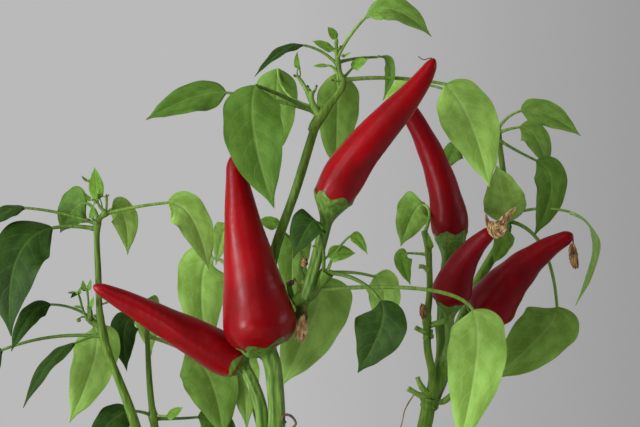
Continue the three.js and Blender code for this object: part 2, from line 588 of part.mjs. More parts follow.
function grownLeaf(twig, share, azimuth, random) {
  const droop = mix(22, 58, random());
  const length = mix(34, 50, random());
  const reach = mix(14, 24, random());
  const root = twig.getPoint(share);
  const base = root.clone().addScaledVector(heading(azimuth, 24), reach);
  const tip = base.clone().addScaledVector(heading(azimuth, -droop), length);
  const roll = mix(-25, 25, random());
  return {
    at: share,
    base: base.toArray(),
    tip: tip.toArray(),
    wide: length * mix(0.36, 0.46, random()),
    face: azimuth + roll,
    up: 90 - droop,
    lift: mix(0, 20, random()),
  };
}

const belowViewEdge = (places) => places.every(
  (place) => place.z < VIEW_EDGE_HEIGHT + VIEW_EDGE_SLOPE * place.y);

function growLeaves(mass) {
  const random = seededRun(mass.seed);
  const stem = mass.curve;
  const leaves = [];
  let azimuth = 360 * random();
  const tryLeaf = (twig, share) => {
    azimuth += GOLDEN_ANGLE + mix(-18, 18, random());
    const shape = leafShape(twig, grownLeaf(twig, share, azimuth, random));
    const places = leafPlaces(shape);
    if (places[0].z > SOIL_TOP && belowViewEdge(places) && isClear(mass.name, places)
        && leaves.every((leaf) => leaf.places.every(
          (own) => places.every((place) => place.distanceTo(own) > KEEP_OFF / 2)))) {
      leaves.push({ shape, places });
    }
  };
  STEM_LEAVES.forEach((share) => tryLeaf(stem, share));
  mass.twigs.forEach((twig) => TWIG_LEAVES.forEach((share) => tryLeaf(twig, share)));
  leaves.forEach((leaf) => leaf.places.forEach(
    (place) => taken.push({ owner: mass.name, at: place, radius: 0 })));
  return leaves.map((leaf) => leaf.shape);
}

function growTwigs(mass) {
  const random = seededRun(mass.seed + 1);
  mass.curve = stemOf(mass);
  const out = azimuthOf(point(mass.reach).sub(point(mass.start)));
  const twigs = TWIG_SHARES.map((share, i) => {
    const side = i % 2 === 0 ? 1 : -1;
    return twigOf(mass.curve, share, out + side * mix(55, 80, random()), mix(24, 32, random()));
  });
  mass.twigs = twigs.filter((twig) => isClear(mass.name, twig.getPoints(8)));
  takeCurve(mass.name, mass.curve, () => STEM_THICK[0]);
  mass.twigs.forEach((twig) => takeCurve(mass.name, twig, () => TWIG_THICK[0]));
}

const taper = ([from, to]) => (t) => mix(from, to, t);

function addSetMass(mass) {
  const stem = limbSolid(mass.curve, taper(mass.thick), 5, mass.stem.length + 2);
  const leaves = mass.shapes.map((shape) => leafSolid(shape, 2, BLADE_STATIONS));
  addPiece(mass.name, clearOfLimbs(wasm.Manifold.union([stem, ...leaves])), foliage());
}

function addGrownMass(mass) {
  const stem = limbSolid(mass.curve, taper(STEM_THICK), 5, 4);
  const twigs = mass.twigs.map((twig) => limbSolid(twig, taper(TWIG_THICK), 4, 3));
  const leaves = growLeaves(mass).map((shape) => leafSolid(shape, 1, PLAIN_STATIONS));
  addPiece(mass.name, clearOfLimbs(wasm.Manifold.union([stem, ...twigs, ...leaves])), foliage());
}

// The plant, from the pot up

addPot();
addTrunk();
BOUGHS.forEach(addBough);
CHILLIES.forEach(addChilli);
for (const mass of SET_MASSES) {
  mass.curve = smoothCurve(mass.stem);
  takeCurve(mass.name, mass.curve, taper(mass.thick));
  mass.shapes = mass.leaves.map((leaf) => leafShape(mass.curve, leaf));
  mass.shapes.forEach((shape) => leafPlaces(shape).forEach(
    (place) => taken.push({ owner: mass.name, at: place, radius: 0 })));
}
GROWN_MASSES.forEach(growTwigs);
SET_MASSES.forEach(addSetMass);
GROWN_MASSES.forEach(addGrownMass);

export default plant;
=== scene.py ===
# A chilli pepper plant in a plain clay pot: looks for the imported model. The limbs, fruit and
# leaves follow the same rows and rules as the solids, in millimetres, with finer surfaces.
import math

import bpy
import numpy as np
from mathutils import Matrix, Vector


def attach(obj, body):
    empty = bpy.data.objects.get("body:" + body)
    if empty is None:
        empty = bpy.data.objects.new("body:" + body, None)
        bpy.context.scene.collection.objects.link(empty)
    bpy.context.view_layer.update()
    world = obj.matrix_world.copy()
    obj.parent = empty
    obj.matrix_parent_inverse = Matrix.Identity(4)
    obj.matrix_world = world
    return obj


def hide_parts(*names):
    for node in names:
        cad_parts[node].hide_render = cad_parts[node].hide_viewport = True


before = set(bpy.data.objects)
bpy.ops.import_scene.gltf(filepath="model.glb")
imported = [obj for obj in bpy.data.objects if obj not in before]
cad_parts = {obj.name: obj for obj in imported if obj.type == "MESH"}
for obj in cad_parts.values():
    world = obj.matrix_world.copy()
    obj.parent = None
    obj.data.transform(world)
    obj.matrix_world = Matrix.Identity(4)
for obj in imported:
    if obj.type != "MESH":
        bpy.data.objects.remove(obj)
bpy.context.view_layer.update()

MM = 0.001

# Driving dimensions, in millimetres

GAP = 0.3
POT_HEIGHT = 125
POT_RIM_RADIUS = 76
POT_FOOT_RADIUS = 52
POT_WALL = 6
POT_FLOOR = 8
RIM_BAND = 26
RIM_STEP = 4
DRAIN_RADIUS = 4
DRAIN_CIRCLE = 30
DRAIN_TURNS = (30, 150, 270)
SOIL_TOP = 112
TRUNK_FLARE = 1.6
FLARE_LENGTH = 0.25
PETIOLE_RADIUS = 0.85
LEAF_FOLD = 0.22
VIEW_EDGE_HEIGHT = 327              # the photograph's lower edge where y is 0
VIEW_EDGE_SLOPE = -0.125            # and how it changes for each millimetre of y
KEEP_OFF = 6.5                      # how far grown leaves and twigs stay from other pieces
GOLDEN_ANGLE = 137.5
FULL_TURN = 6.283                   # radians, for drawn angles
SEED_OF = dict(bough=20, fruit=40, stalk=60, stem=90, twig=130, knuckle=170, thin_stalk=200,
               strand=250, leaflet=300, petal=400)


# Rows: short calls that say what a limb, a leaf, a mass of foliage or a thin strand is made of

def limb(name, thick, *route):
    """A tapering limb: its radius at both ends, and its route from its parent's middle."""
    return dict(name=name, thick=thick, route=route)


def leaf(at, base, tip, wide, tone, **more):
    """A leaf, with the values that the comment above the set masses explains."""
    return dict(at=at, base=base, tip=tip, wide=wide, tone=tone, **more)


def foliage(name, thick, stem, *leaves):
    """A mass: its stem's radius at both ends, the stem's points, and its leaves."""
    return dict(name=name, thick=thick, stem=stem, leaves=leaves)


def strand(root_radius, end_radius, *way, **look):
    """A thin stalk or a dry strand along a way."""
    return dict(way=way, thick=(root_radius, end_radius), **look)


# The plant's limbs, as in the solids

TRUNK = limb("trunk", (5.4, 4.6), (0, 0, SOIL_TOP + GAP), (0, 0, 122), (1, -1, 148), (3, 0, 178))

BOUGHS = [
    limb("bough_left", (3.8, 1.35), (3, 0, 175), (-8, 3, 202), (-22, 8, 232), (-42, 14, 278),
         (-57, 22, 328), (-67.5, 22, 356)),
    limb("bough_centre", (4.2, 2.7), (3, 0, 175), (5, 6, 215), (4, 12, 262), (-1, 13, 300),
         (-3.8, 12, 330)),
    limb("bough_right", (4, 2.6), (3, 0, 175), (14, 8, 205), (30, 24, 248), (45, 40, 290), (54, 50, 324),
         (56.2, 50, 335)),
    limb("bough_inner_left", (2.8, 1.3), (-22, 8, 232), (-33, 24, 262), (-45, 38, 295), (-51.8, 45, 324)),
    limb("bough_tall", (2.4, 1.5), (-3.8, 12, 330), (-3.8, 14, 345), (-8, 18.5, 366), (-4.5, 12, 392),
         (4, 4, 417), (11.5, 1, 441)),
    limb("bough_fruit", (2.3, 1.9), (-7, 17.6, 360), (-0.5, 16, 364), (5.2, 9.5, 370), (7.2, 0, 378)),
    limb("bough_right_mid", (2.5, 2.3), (56.2, 50, 335), (60.5, 52, 345), (61.8, 55, 364)),
    limb("bough_right_inner", (1.7, 1.4), (56.2, 50, 334), (57, 48, 344), (55, 47, 355),
         (54.8, 47.5, 366)),
    limb("bough_right_upper", (2.5, 1.7), (56.2, 50, 332), (66, 64, 354), (76, 80, 376), (86, 84, 393),
         (89.8, 82, 402)),
    limb("bough_back_left", (2.6, 1.5), (4, 12, 262), (-3, 38, 298), (-13, 60, 332), (-20, 72, 360)),
    limb("bough_back", (3.2, 2), (2, 0, 162), (8, 22, 195), (14, 45, 235)),
    limb("bough_low_front_left", (3, 1.9), (1, -1, 140), (-12, -16, 168), (-26, -34, 200)),
    limb("bough_low_front_right", (3, 1.9), (2, 0, 152), (16, -14, 182), (32, -30, 212)),
    limb("bough_low_left", (2.4, 1.7), (-19, 7, 226), (-38, 0, 244), (-58, -6, 262)),
    limb("bough_low_right", (2.4, 1.7), (30, 24, 248), (52, 14, 262), (68, 8, 280)),
    limb("bough_low_back_left", (2.8, 1.8), (1, 0, 148), (-14, 22, 180), (-32, 42, 212)),
    limb("bough_low_back_right", (2.6, 1.8), (22, 16, 226), (38, 42, 250), (56, 62, 274)),
]

# Chillies: axis from base over bend (and a second bend, crook) to tip, greatest radius, how
# much they narrow (slim) to the tip, and how long they stay full (full above 1). The foot is
# the radius of the base over the greatest one. The stalk's route runs from its bough to the
# chilli's base, thick is its radius, calyx the radius of the green cup at its end, and flare how
# late the cup widens.

CHILLIES = [
    dict(base=(-7.6, 0, 359.5), bend=(-14.3, -1, 391), tip=(-18.5, 0, 429.5), radius=14.1, slim=0.8,
         calyx=8.4, flare=2.2, thick=3.1,
         stalk=[(-3.8, 12, 316), (-4.6, 4, 322), (-3, 0, 332), (-3.6, 0, 345), (-4.9, 0, 354)]),
    dict(base=(-17.6, 14, 352.2), bend=(-42, 11, 366.6), tip=(-70.7, 5.5, 381.4), radius=7.8, slim=0.74,
         full=1.4, foot=0.8, calyx=5.8, flare=1.8, thick=2.1,
         stalk=[(-1.6, 12.8, 304), (-7.5, 9, 320), (-9, 8.5, 336), (-13.7, 11, 348)]),
    dict(base=(17.3, -2, 413), bend=(24.4, -4, 432.6), crook=(48.6, -6, 449.4), tip=(54, -6, 464),
         radius=7.9, slim=0.78, full=1.4, foot=0.9, calyx=7, thick=2,
         stalk=[(7, -0.6, 377), (9.4, -1.5, 384), (12, -1.5, 393), (14.7, -2, 403.5)]),
    dict(base=(65, 60, 397.4), bend=(64.5, 60, 424), tip=(46.5, 60, 452), radius=7.9, slim=0.58,
         calyx=6.4, thick=2.3,
         stalk=[(61.8, 55.2, 364.2), (62, 57.2, 374), (63.6, 60, 388)]),
    dict(base=(63.6, 44, 373), bend=(65.2, 38, 390), tip=(78.8, 28, 401.6), radius=8.1, slim=0.7,
         calyx=5.6, thick=1.8,
         stalk=[(60.6, 52.4, 346), (63.6, 47.5, 356), (63.4, 45, 366)]),
    dict(base=(78.6, 65, 365), bend=(90.5, 61, 389), tip=(113.5, 56, 399.5), radius=10.5, slim=0.77,
         calyx=6.6, thick=1.9,
         stalk=[(60, 56, 341), (67, 61, 346), (74, 65, 356)]),
    dict(base=(-13, -36, 226), bend=(-11, -42, 250), tip=(-3, -44, 272), radius=9, slim=0.75, calyx=6,
         thick=2,
         stalk=[(-20.5, -27, 188), (-17, -32, 202), (-14, -35, 217)]),
    dict(base=(57, -4, 282), bend=(59, -10, 300), tip=(68, -14, 319), radius=8.4, slim=0.72, calyx=5.8,
         thick=1.9,
         stalk=[(50, 15, 261), (53, 4, 265), (56, -3, 274)]),
    dict(base=(27, 53, 252), bend=(35, 57, 272), tip=(42, 64, 294), radius=9.4, slim=0.76, calyx=6.2,
         thick=2,
         stalk=[(10.5, 32, 212), (18, 42, 224), (24, 50, 242)]),
    dict(base=(-50, -18, 272), bend=(-51, -26, 292), tip=(-45, -32, 314), radius=8.6, slim=0.74,
         calyx=5.9, thick=1.9,
         stalk=[(-40, -1, 246), (-44, -9, 252), (-48.5, -16, 264)]),
]

SHOULDER = 0.14
BASE_SHARE = 0.6
TIP_ROUND = 0.93
TIP_POINT = 0.02
FULLNESS = 0.85
CUP_DEPTH = 0.07
CUP_FLARE = 1.15

# Masses set leaf by leaf. A leaf's row has the share along the stem where its stalk leaves it, the
# blade's base and tip, its width and its green. Then face and up are the azimuth and height that
# its upper side looks to, lift the slope of the leaf stalk at the blade's base and dip the midrib's
# there, bow and rise how far they carry into the blade and back into the stalk, turn their azimuth,
# full how broad the blade's base is, -1 to 1, and fold how steeply its halves rise.

# Each leaf's green below is partly its own and partly painted light and shade, matched to how lit that leaf
# looks. The pale ones are painted light shining through the blade.
SET_MASSES = [
    foliage(
        "foliage_left", (1.35, 1),
        [(-67.5, 22, 356), (-70.2, 22, 368), (-71, 22, 385), (-71.4, 22, 403), (-67.9, 22, 408.5)],
        leaf(0.73, (-88, 19.7, 402.4), (-102, 12, 362), 23, "deep", face=262, lift=-11, bow=0.45),
        leaf(0.77, (-99, 23, 410), (-121, 22, 392), 11, "deep", face=235, up=50, lift=4),
        leaf(0.79, (-77, 31, 412), (-87.5, 36, 400.4), 15.5, "mid", lift=12),
        leaf(1, (-71.3, 22, 413), (-72.5, 23, 425.5), 5.6, "mid", up=5, lift=85),
        leaf(0.97, (-67, 24.5, 409), (-60.5, 27, 391.8), 10.8, "pale", face=280, lift=25, bow=0.5),
        leaf(0.95, (-45, 25, 412), (-29.5, 27, 386), 14.5, "pale", face=275, lift=5),
        leaf(0.2, (-89, 22, 373.5), (-103, 17, 356), 8.5, "deep", face=255),
        leaf(0.12, (-108, 25, 356), (-127, 24, 334), 15, "deep", face=250, lift=-22),
        leaf(0.16, (-80, 22, 358.8), (-99, 20, 334.6), 9, "deep", face=225, up=40, lift=-22),
        leaf(0.26, (-74, 33, 364.5), (-84, 35, 327), 17.5, "pale", face=275, lift=-60, bow=0.24, turn=0),
    ),
    foliage(
        "foliage_inner_left", (1.3, 0.9),
        [(-51.8, 45, 324), (-53.7, 45, 339), (-54.6, 45, 355), (-54.9, 45, 367)],
        leaf(0.97, (-59.4, 44, 366.8), (-62.4, 42, 346.3), 11.5, "deep", face=265, lift=12),
        leaf(0.95, (-58, 54, 373), (-54.5, 58, 351), 12, "pale", face=275, lift=20),
        leaf(0.8, (-40, 48, 354), (-25, 46, 319), 21, "bright", lift=-25),
        leaf(0.12, (-47, 43, 329), (-40.5, 42, 332.5), 4.4, "bright", up=40, lift=10),
        leaf(0.1, (-60.5, 41, 331), (-77, 37, 316), 13, "deep", face=255),
        leaf(0.08, (-35, 47, 328), (-20, 48, 307), 13, "mid", face=275, lift=5),
    ),
    foliage(
        "foliage_top", (1.5, 0.55),
        [(11.5, 1, 441), (15, 0, 446), (19, 0, 451), (21.3, 0, 455.5), (19.8, 0, 460), (19, 0, 466),
         (18.6, 0, 471)],
        leaf(0.1, (-22, 9, 452.6), (-51.5, 6, 442.3), 13, "mid", up=25, lift=6),
        leaf(0.08, (-10.5, -8, 454), (-3.5, -12, 409.5), 21.5, "mid", face=266, lift=12, dip=-66,
             bow=0.3),
        leaf(0.17, (-2.9, 14, 462), (-4.6, 20, 428), 16, "bright", up=5, lift=85, dip=-84),
        leaf(0.45, (19.5, 17, 460.6), (18.8, 22, 423.6), 15.7, "bright", up=5, lift=85, dip=-84),
        leaf(0.72, (6.5, 0, 469.3), (-11, -3, 457.5), 6.4, "deep", up=60, lift=8),
        leaf(0.8, (29.5, 0, 479.5), (53.5, -2, 472), 13, "bright", face=275, up=40, lift=45, bow=0.5),
        leaf(0.56, (24.5, 2, 461), (30.5, 1, 464.2), 4.6, "mid", lift=50),
        leaf(0.75, (34, 6, 465.5), (36, 9, 449.5), 9.5, "mid", face=205, up=15, bow=0.55, turn=0),
        leaf(0.54, (59.5, 12, 456), (75.5, 9, 417.5), 20.5, "pale", face=260, lift=-10, dip=-42),
        leaf(0.97, (18.8, 0, 471.5), (15.5, -1, 476), 3.4, "bright", lift=60),
        leaf(0.88, (17.6, 0, 467.5), (10, -1, 470.8), 3.6, "pale", lift=30),
    ),
    foliage(
        "foliage_centre", (1.9, 1.5),
        [(7.2, 0, 378), (11, 1.5, 380.5), (15.5, -1, 386.5)],
        leaf(0.8, (12.6, -9, 403.5), (3, -13, 391.5), 14.5, "deep", face=262, lift=68, bow=0.5, fold=0.4),
        leaf(0.95, (15.6, -4, 392.3), (25.8, -3, 393.4), 6.4, "pale", face=275, lift=35),
        leaf(1, (23.3, -6, 399.5), (30, -7, 393), 4.6, "pale", face=280, lift=40),
        leaf(1, (34.6, -8, 376.3), (26.3, -9, 350.5), 19.5, "deep", face=262, lift=-52, bow=0.3, full=-1),
        leaf(0.97, (33, 9, 384.5), (35, 12, 362), 12.5, "pale", face=275, lift=-15),
        leaf(0.2, (13, 24, 383), (-2.5, 33, 341), 25.5, "pale", face=272, lift=-65, bow=0.16, turn=0),
        leaf(0.12, (4, 20, 398.5), (2, 26, 371), 13, "bright", lift=20),
        leaf(0.42, (69.5, 10, 372), (63.5, 6, 320), 21.5, "pale", face=266, lift=-62, bow=0.22,
             rise=0.22),
        leaf(0.3, (-3, 15, 403), (-10.5, 17, 405.5), 5.5, "pale", lift=30),
    ),
    foliage(
        "foliage_right_inner", (1.4, 1),
        [(54.8, 47.5, 366), (56, 49, 378), (55.5, 50, 392), (54, 52, 401)],
        leaf(0.97, (54.5, 66, 411.5), (45.4, 68, 394.5), 14.5, "bright", face=272, lift=10),
        leaf(0.66, (47.5, 50, 392.3), (48.6, 50, 379.5), 7, "bright", face=262, lift=2, turn=180),
    ),
    foliage(
        "foliage_right", (1.7, 1),
        [(89.8, 82, 402), (90, 82, 408), (88.5, 83, 425), (86, 83, 444)],
        leaf(0.97, (96.2, 85, 450.5), (121, 85, 440), 12, "bright", face=275, up=20, lift=15),
        leaf(0.95, (95, 80, 443.4), (106.6, 79, 425.5), 12.5, "bright", face=275, lift=5),
        leaf(0.9, (101.2, 74, 429.5), (99.5, 70, 398.5), 13, "mid", face=265, lift=-25, bow=0.45, turn=0),
        leaf(0.3, (89, 74, 404), (84, 66, 427.5), 17, "pale", face=262, up=10, lift=70, fold=0.3),
        leaf(0.3, (114.5, 71, 408.5), (115.5, 64, 370.7), 13, "pale", face=345, up=15, lift=-15, bow=0.5,
             turn=0),
        leaf(0.2, (110, 77, 369.5), (82, 76, 339), 25, "bright", face=262, lift=-86, bow=0.2, rise=0.8,
             turn=0),
        leaf(0.06, (89.5, 75, 401), (83.5, 72, 387.5), 8, "pale", face=265, lift=-60),
        leaf(0.95, (72, 89, 435.5), (65, 89, 426), 9, "mid", lift=-5),
        leaf(1, (54, 84, 461.5), (39, 82, 455), 10, "pale", up=45, lift=5),
    ),
    foliage(
        "foliage_back_left", (1.5, 1),
        [(-20, 72, 360), (-23, 75, 372), (-24.5, 76, 386)],
        leaf(0.95, (-31, 78, 389.5), (-33.5, 76, 349), 21, "pale", bow=0.2),
        leaf(0.97, (-23.5, 64, 403), (-29, 60, 387), 8.5, "pale", face=265, lift=40),
        leaf(0.6, (-12, 84, 379), (6, 88, 352), 20, "pale", face=90, lift=15),
        leaf(0.25, (-20, 61, 353), (-16, 50, 322), 13, "pale"),
    ),
]

# Masses that grow by rule: the stem runs to reach, side twigs leave it in turn, and leaves stand
# round both

GROWN_MASSES = [
    dict(name="foliage_back", seed=11, start=(14, 45, 235), reach=(20, 74, 290)),
    dict(name="foliage_low_front_left", seed=23, start=(-26, -34, 200), reach=(-44, -58, 258)),
    dict(name="foliage_low_front_right", seed=37, start=(32, -30, 212), reach=(52, -56, 270)),
    dict(name="foliage_low_left", seed=41, start=(-58, -6, 262), reach=(-86, -8, 298)),
    dict(name="foliage_low_right", seed=53, start=(68, 8, 280), reach=(92, 6, 306)),
    dict(name="foliage_low_back_left", seed=67, start=(-32, 42, 212), reach=(-54, 66, 270)),
    dict(name="foliage_low_back_right", seed=79, start=(56, 62, 274), reach=(72, 84, 300)),
]

STEM_THICK = (1.8, 1.1)
TWIG_THICK = (1.2, 0.8)
TWIG_SHARES = (0.3, 0.62)
TWIG_TURN = (55, 80)                # ranges that the rule draws from, in degrees and millimetres
TWIG_LENGTH = (24, 32)
TWIG_RISE = (20, 32)                # the slope of a twig's bend and end, in degrees
STEM_BULGE = 0.18                   # how far a grown stem bends outwards
STEM_LEAVES = (0.2, 0.36, 0.5, 0.64, 0.78, 0.9, 1)
TWIG_LEAVES = (0.55, 0.8, 1)
LEAF_TURN = (-18, 18)
LEAF_DROOP = (22, 58)
LEAF_LENGTH = (34, 50)
LEAF_REACH = (14, 24)
LEAF_RISE = 24
LEAF_ROLL = (-25, 25)
LEAF_SLIM = (0.36, 0.46)            # width over length
LEAF_LIFT = (0, 20)
GROWN_TONES = ("deep", "mid", "mid", "bright")

# Small parts, each at its place: a thin stalk's or dry strand's radius at both ends and its way,
# a leaflet's stalk root, base, tip, width and green, a bud's foot, tip and radius, a withered
# flower's foot, middle, end, width, number of petals and pile, and a dry petal's way, width and
# the direction across it

THIN_STALKS = [
    strand(0.42, 0.5, (-68, 22, 408.5), (-67.8, 22, 411.5), (-67.9, 22, 414.3)),
    strand(0.2, 0.35, (-69.9, 22, 414.7), (-68.4, 22, 414.2), (-66.9, 22, 414.9)),
    strand(0.25, 0.22, (-69, 22, 408), (-70, 22.3, 412.5), (-71.2, 22.6, 414.3)),
    strand(0.25, 0.22, (-71.3, 22.6, 412.5), (-72.4, 23.4, 417), (-74.8, 22.6, 420.3)),
    strand(0.4, 0.5, (-71.6, 22, 403.5), (-73.1, 22, 404.6), (-74.5, 22, 405.3)),
    strand(1.2, 0.95, (-70.4, 21.8, 365.6), (-73.6, 21.4, 367.2), (-75, 21, 368.5)),
    strand(0.5, 0.35, (-75, 21, 368.5), (-76.6, 21, 371.5), (-77.6, 21, 375.4), (-78.4, 21, 377.8)),
    strand(0.52, 0.38, (-74.4, 21, 368.2), (-74.5, 20.6, 374.3), (-75, 20.6, 379.2)),
    strand(0.8, 0.6, (-74, 20.6, 368), (-73.6, 20.6, 370.2), (-73.9, 20.6, 372.7)),
    strand(0.4, 0.28, (-75.4, 21, 368.6), (-76.8, 21, 369), (-78, 21, 368.3)),
    strand(0.35, 0.4, (-70, 22, 373.6), (-68.4, 22, 374), (-67.1, 22, 374.6)),
    strand(1.45, 1, (12.9, 0.5, 442.6), (11, 0, 446), (9.5, 0, 449.8), (9.8, 0, 452.4), pale=True),
    strand(0.55, 0.4, (9.8, 0, 451.8), (8.8, -0.1, 453.1), (8.4, -0.2, 454)),
    strand(0.6, 0.36, (9.9, 0, 451.8), (10.9, 0, 452.7), (11.4, 0, 454)),
    strand(0.9, 0.6, (10.2, 0.4, 447.6), (8, 0.4, 452.6), (5.9, 0.4, 456.2), (4.4, 0.4, 458.1),
           pale=True),
    strand(0.3, 0.22, (5.3, 0.4, 457.2), (5.6, 0.3, 459), (5.2, 0.2, 461)),
    strand(0.28, 0.2, (4.6, 0.4, 458), (4.4, 0.3, 459.4), (4.8, 0.2, 461)),
    strand(0.35, 0.25, (20.4, -0.8, 456.4), (18.8, -1.2, 456), (17.6, -1.4, 456.3)),
    strand(0.26, 0.34, (18.7, 0, 467.8), (19.6, -0.6, 467.9), (20.3, -0.8, 469.2)),
    strand(0.26, 0.34, (18.7, 0, 467.8), (17.8, -0.6, 467.9), (17, -0.8, 468.6)),
    strand(0.5, 0.42, (13.4, -2, 392.6), (11.9, -3, 394.6), (10.1, -3.4, 396.2), pale=True),
    strand(1.5, 0.9, (5.6, 14, 371), (4.8, 8, 374.4), (2.4, 4.4, 377.6), (1.3, 3, 382.6)),
    strand(0.9, 0.6, (8.4, 2, 381.6), (6, 0.6, 386.4), (5.8, 0, 390.4)),
    strand(1.1, 1.25, (55, 49, 363.5), (58.6, 47, 364.8), (63.2, 46.6, 366.2), pale=True),
    strand(1.2, 0.9, (56.5, 49, 361), (53.4, 47, 361.6), (50.2, 46.4, 363.2), pale=True),
    strand(1, 0.75, (56.6, 49, 359.6), (54.8, 46.6, 359.6), (53.6, 45.8, 358.8), pale=True),
    strand(0.95, 0.8, (55.4, 48.8, 385.6), (53.4, 48, 387), (51.7, 47.8, 387.1), pale=True),
    strand(1.3, 1, (56, 49, 335.6), (52, 47.4, 336.6), (47.4, 46.6, 339.2), pale=True),
    strand(1.2, 0.9, (55.6, 49, 336.4), (52.6, 47.4, 340), (51, 46.8, 343.6), pale=True),
    strand(1.3, 1, (57, 50, 334), (61.4, 50, 333.8), (65.2, 50, 337), pale=True),
]
LEAFLETS = [
    ((-74.6, 22.6, 420.1), (-74.8, 22.6, 420.3), (-77.4, 22, 422.3), 1.2, "bright"),
    ((-71.7, 22, 411.6), (-73.4, 21.8, 413.1), (-76.8, 21.5, 416.6), 1.9, "mid"),
    ((-72, 21.6, 403.6), (-73, 21, 405.9), (-72.3, 20.6, 412.2), 2.1, "mid"),
    ((-78.4, 21, 377.8), (-78.3, 21, 378), (-77.4, 20, 380.2), 1.5, "mid"),
    ((-78.4, 21, 377.8), (-78.6, 21, 377.8), (-81.2, 20, 375.9), 1.6, "deep"),
    ((-78.4, 21, 377.8), (-79, 21, 378), (-82.6, 21, 378.1), 1.2, "bright"),
    ((-75, 20.6, 379.2), (-75, 20.4, 379.4), (-73.5, 19.6, 383.4), 1.9, "mid"),
    ((-75, 20.6, 379.2), (-75.3, 20.4, 379.4), (-76.4, 19.8, 383), 2, "mid"),
    ((-75, 20.6, 379.2), (-75.4, 20.4, 379.1), (-77.6, 20.4, 380.3), 1.3, "deep"),
    ((-74.2, 20.6, 371.6), (-74.2, 20.4, 373), (-72.4, 19.6, 377), 1.9, "mid"),
    ((-76.9, 21, 372), (-77.2, 20.8, 372.6), (-80.2, 20.8, 373), 1.2, "mid"),
    ((5, 0.2, 460.9), (5, 0.2, 461.1), (4.6, -0.4, 467.2), 2.1, "pale"),
    ((18.8, 0, 459.6), (15.6, -1.4, 461.8), (10.1, -2, 461.5), 1.7, "bright"),
    ((21.2, 0, 465.2), (21.6, -0.3, 465.5), (24.2, -0.8, 466.9), 1.1, "mid"),
    ((55.6, 50, 391), (56.4, 48, 394), (55.2, 47, 400.6), 2.6, "mid"),
]
BUDS = [
    ((-78, 21, 368.4), (-78.4, 20.8, 366.9), 0.85),
    ((-71.1, 22, 413.6), (-71, 21.4, 415.3), 0.8),
    ((-71.2, 21.6, 403.6), (-71.8, 20.6, 405.2), 1),
]
DARK_BUDS_AND_HOLLOW_SHADE = [
    ((8.4, -0.2, 453.8), (8.2, -0.3, 454.8), 0.5),
    ((11.4, 0, 453.8), (11.6, -0.1, 454.9), 0.45),
    ((4.2, 0.4, 457.8), (3.1, 0.2, 458.6), 0.5),
    ((17.7, -1.4, 456.2), (16.9, -1.6, 456.6), 0.42),
    ((1.5, 2.6, 381.6), (3.2, 1.2, 383.4), 1),
    ((-74.5, 22, 405.1), (-75.2, 21.8, 406), 0.7),
    ((-67.9, 22, 414), (-67.9, 22, 415.2), 0.5),
    # Not a bud: a dark red-brown lump in the middle of the withered flower at chilli_5's tip. It stands for
    # the flower's shaded hollow, and is painted shade.
    ((80.6, 25.6, 403.6), (80.2, 24.2, 405), 1),
    ((7.4, 0.8, 372), (6.7, 0.4, 367.8), 1.3),
]
DRY_STRANDS = [
    strand(0.34, 0.3, (3.2, 1, 384.3), (4.8, 0.6, 381.8), (6.2, 0.4, 376.3), (7.9, 0.4, 372.6),
           (7, 0.6, 370.6)),
    strand(0.22, 0.12, (5.4, 0.6, 379.2), (6.8, 0.2, 380), (8.4, -0.2, 379.8)),
    strand(0.22, 0.14, (54.3, -6, 462.8), (52.8, -6.6, 464), (50.2, -7, 463.4), (48.2, -7, 464.6),
           dark=True),
    strand(0.28, 0.16, (50, 47.2, 337.4), (46.2, 45.6, 331.4), (44.6, 45, 325), (42.4, 45.2, 321)),
    strand(0.5, 0.4, (0.1, -2, 331.8), (-0.8, -3, 333.6), (0.4, -3.4, 334.9), (2.6, -3.4, 334.2),
           (4.1, -3.2, 331.8), (2.8, -3.4, 330), dark=True),
    strand(0.25, 0.3, (113.2, 56, 398.6), (113.5, 56, 396.6), (113.2, 56, 395.4)),
]
WITHERED_FLOWERS = [
    ((7, 0.6, 370.9), (6.4, 0, 366), (5, -0.6, 360.6), 4.4, 7, "withered"),
    ((6, 0, 389.8), (7.2, -1.2, 392.4), (8, -1.6, 388.8), 3, 5, "brown"),
    ((113.2, 56, 395.8), (112.8, 55.6, 391), (114.8, 55.6, 385.8), 4, 7, "brown"),
    ((78, 28, 401), (79.6, 26.6, 402.4), (81.6, 26, 404.6), 5.4, 6, "withered"),
    ((54, 47.4, 366), (52.6, 45.8, 369), (53.2, 45.4, 372.6), 3.4, 5, "brown"),
    ((63, 50, 366), (65.4, 49.4, 363.6), (64.4, 49, 358.8), 2.4, 3, "brown"),
]
DRY_PETALS = [
    ([(79.8, 26, 401.6), (82.2, 24.6, 406.6), (87.2, 25.6, 410.4)], 4.6, (1, 1, -0.6)),
    ([(80.6, 26, 402), (84.4, 26.4, 405), (86.6, 26, 409.8)], 2.8, (1, -1, -0.4)),
    ([(79.4, 26.2, 401.4), (75.8, 25.4, 402.6), (75.9, 26.4, 408)], 3.2, (1, 0.6, 0.3)),
    ([(77.2, 25.6, 405), (77.4, 23.8, 400.6), (80.2, 24, 398.6)], 3.8, (1, 0, 0.8)),
    ([(82.8, 25.6, 403.8), (82.6, 24, 400.6), (79.6, 24.2, 398.8)], 3.2, (1, 0, -0.6)),
    ([(78.2, 25, 403), (80.4, 23.4, 400), (82.4, 24.6, 399.4)], 2.6, (0, 1, 1)),
]


# Vectors and curves. A curve is a function from shares, 0 to 1, to points.

def vec(xyz):
    return np.array(xyz, float)


def unit(v):
    return v / np.maximum(np.linalg.norm(v, axis=-1, keepdims=True), 1e-12)


def mix(low, high, share):
    return low + (high - low) * share


def smooth_step(low, high, value):
    share = np.clip((value - low) / (high - low), 0, 1)
    return share * share * (3 - 2 * share)


def heading(azimuth, height):
    """The unit vector at an azimuth, 0 along +X and 90 along +Y, and a height, in degrees."""
    a, h = math.radians(azimuth), math.radians(height)
    return vec((math.cos(a) * math.cos(h), math.sin(a) * math.cos(h), math.sin(h)))


def azimuth_of(v):
    return math.degrees(math.atan2(v[1], v[0]))


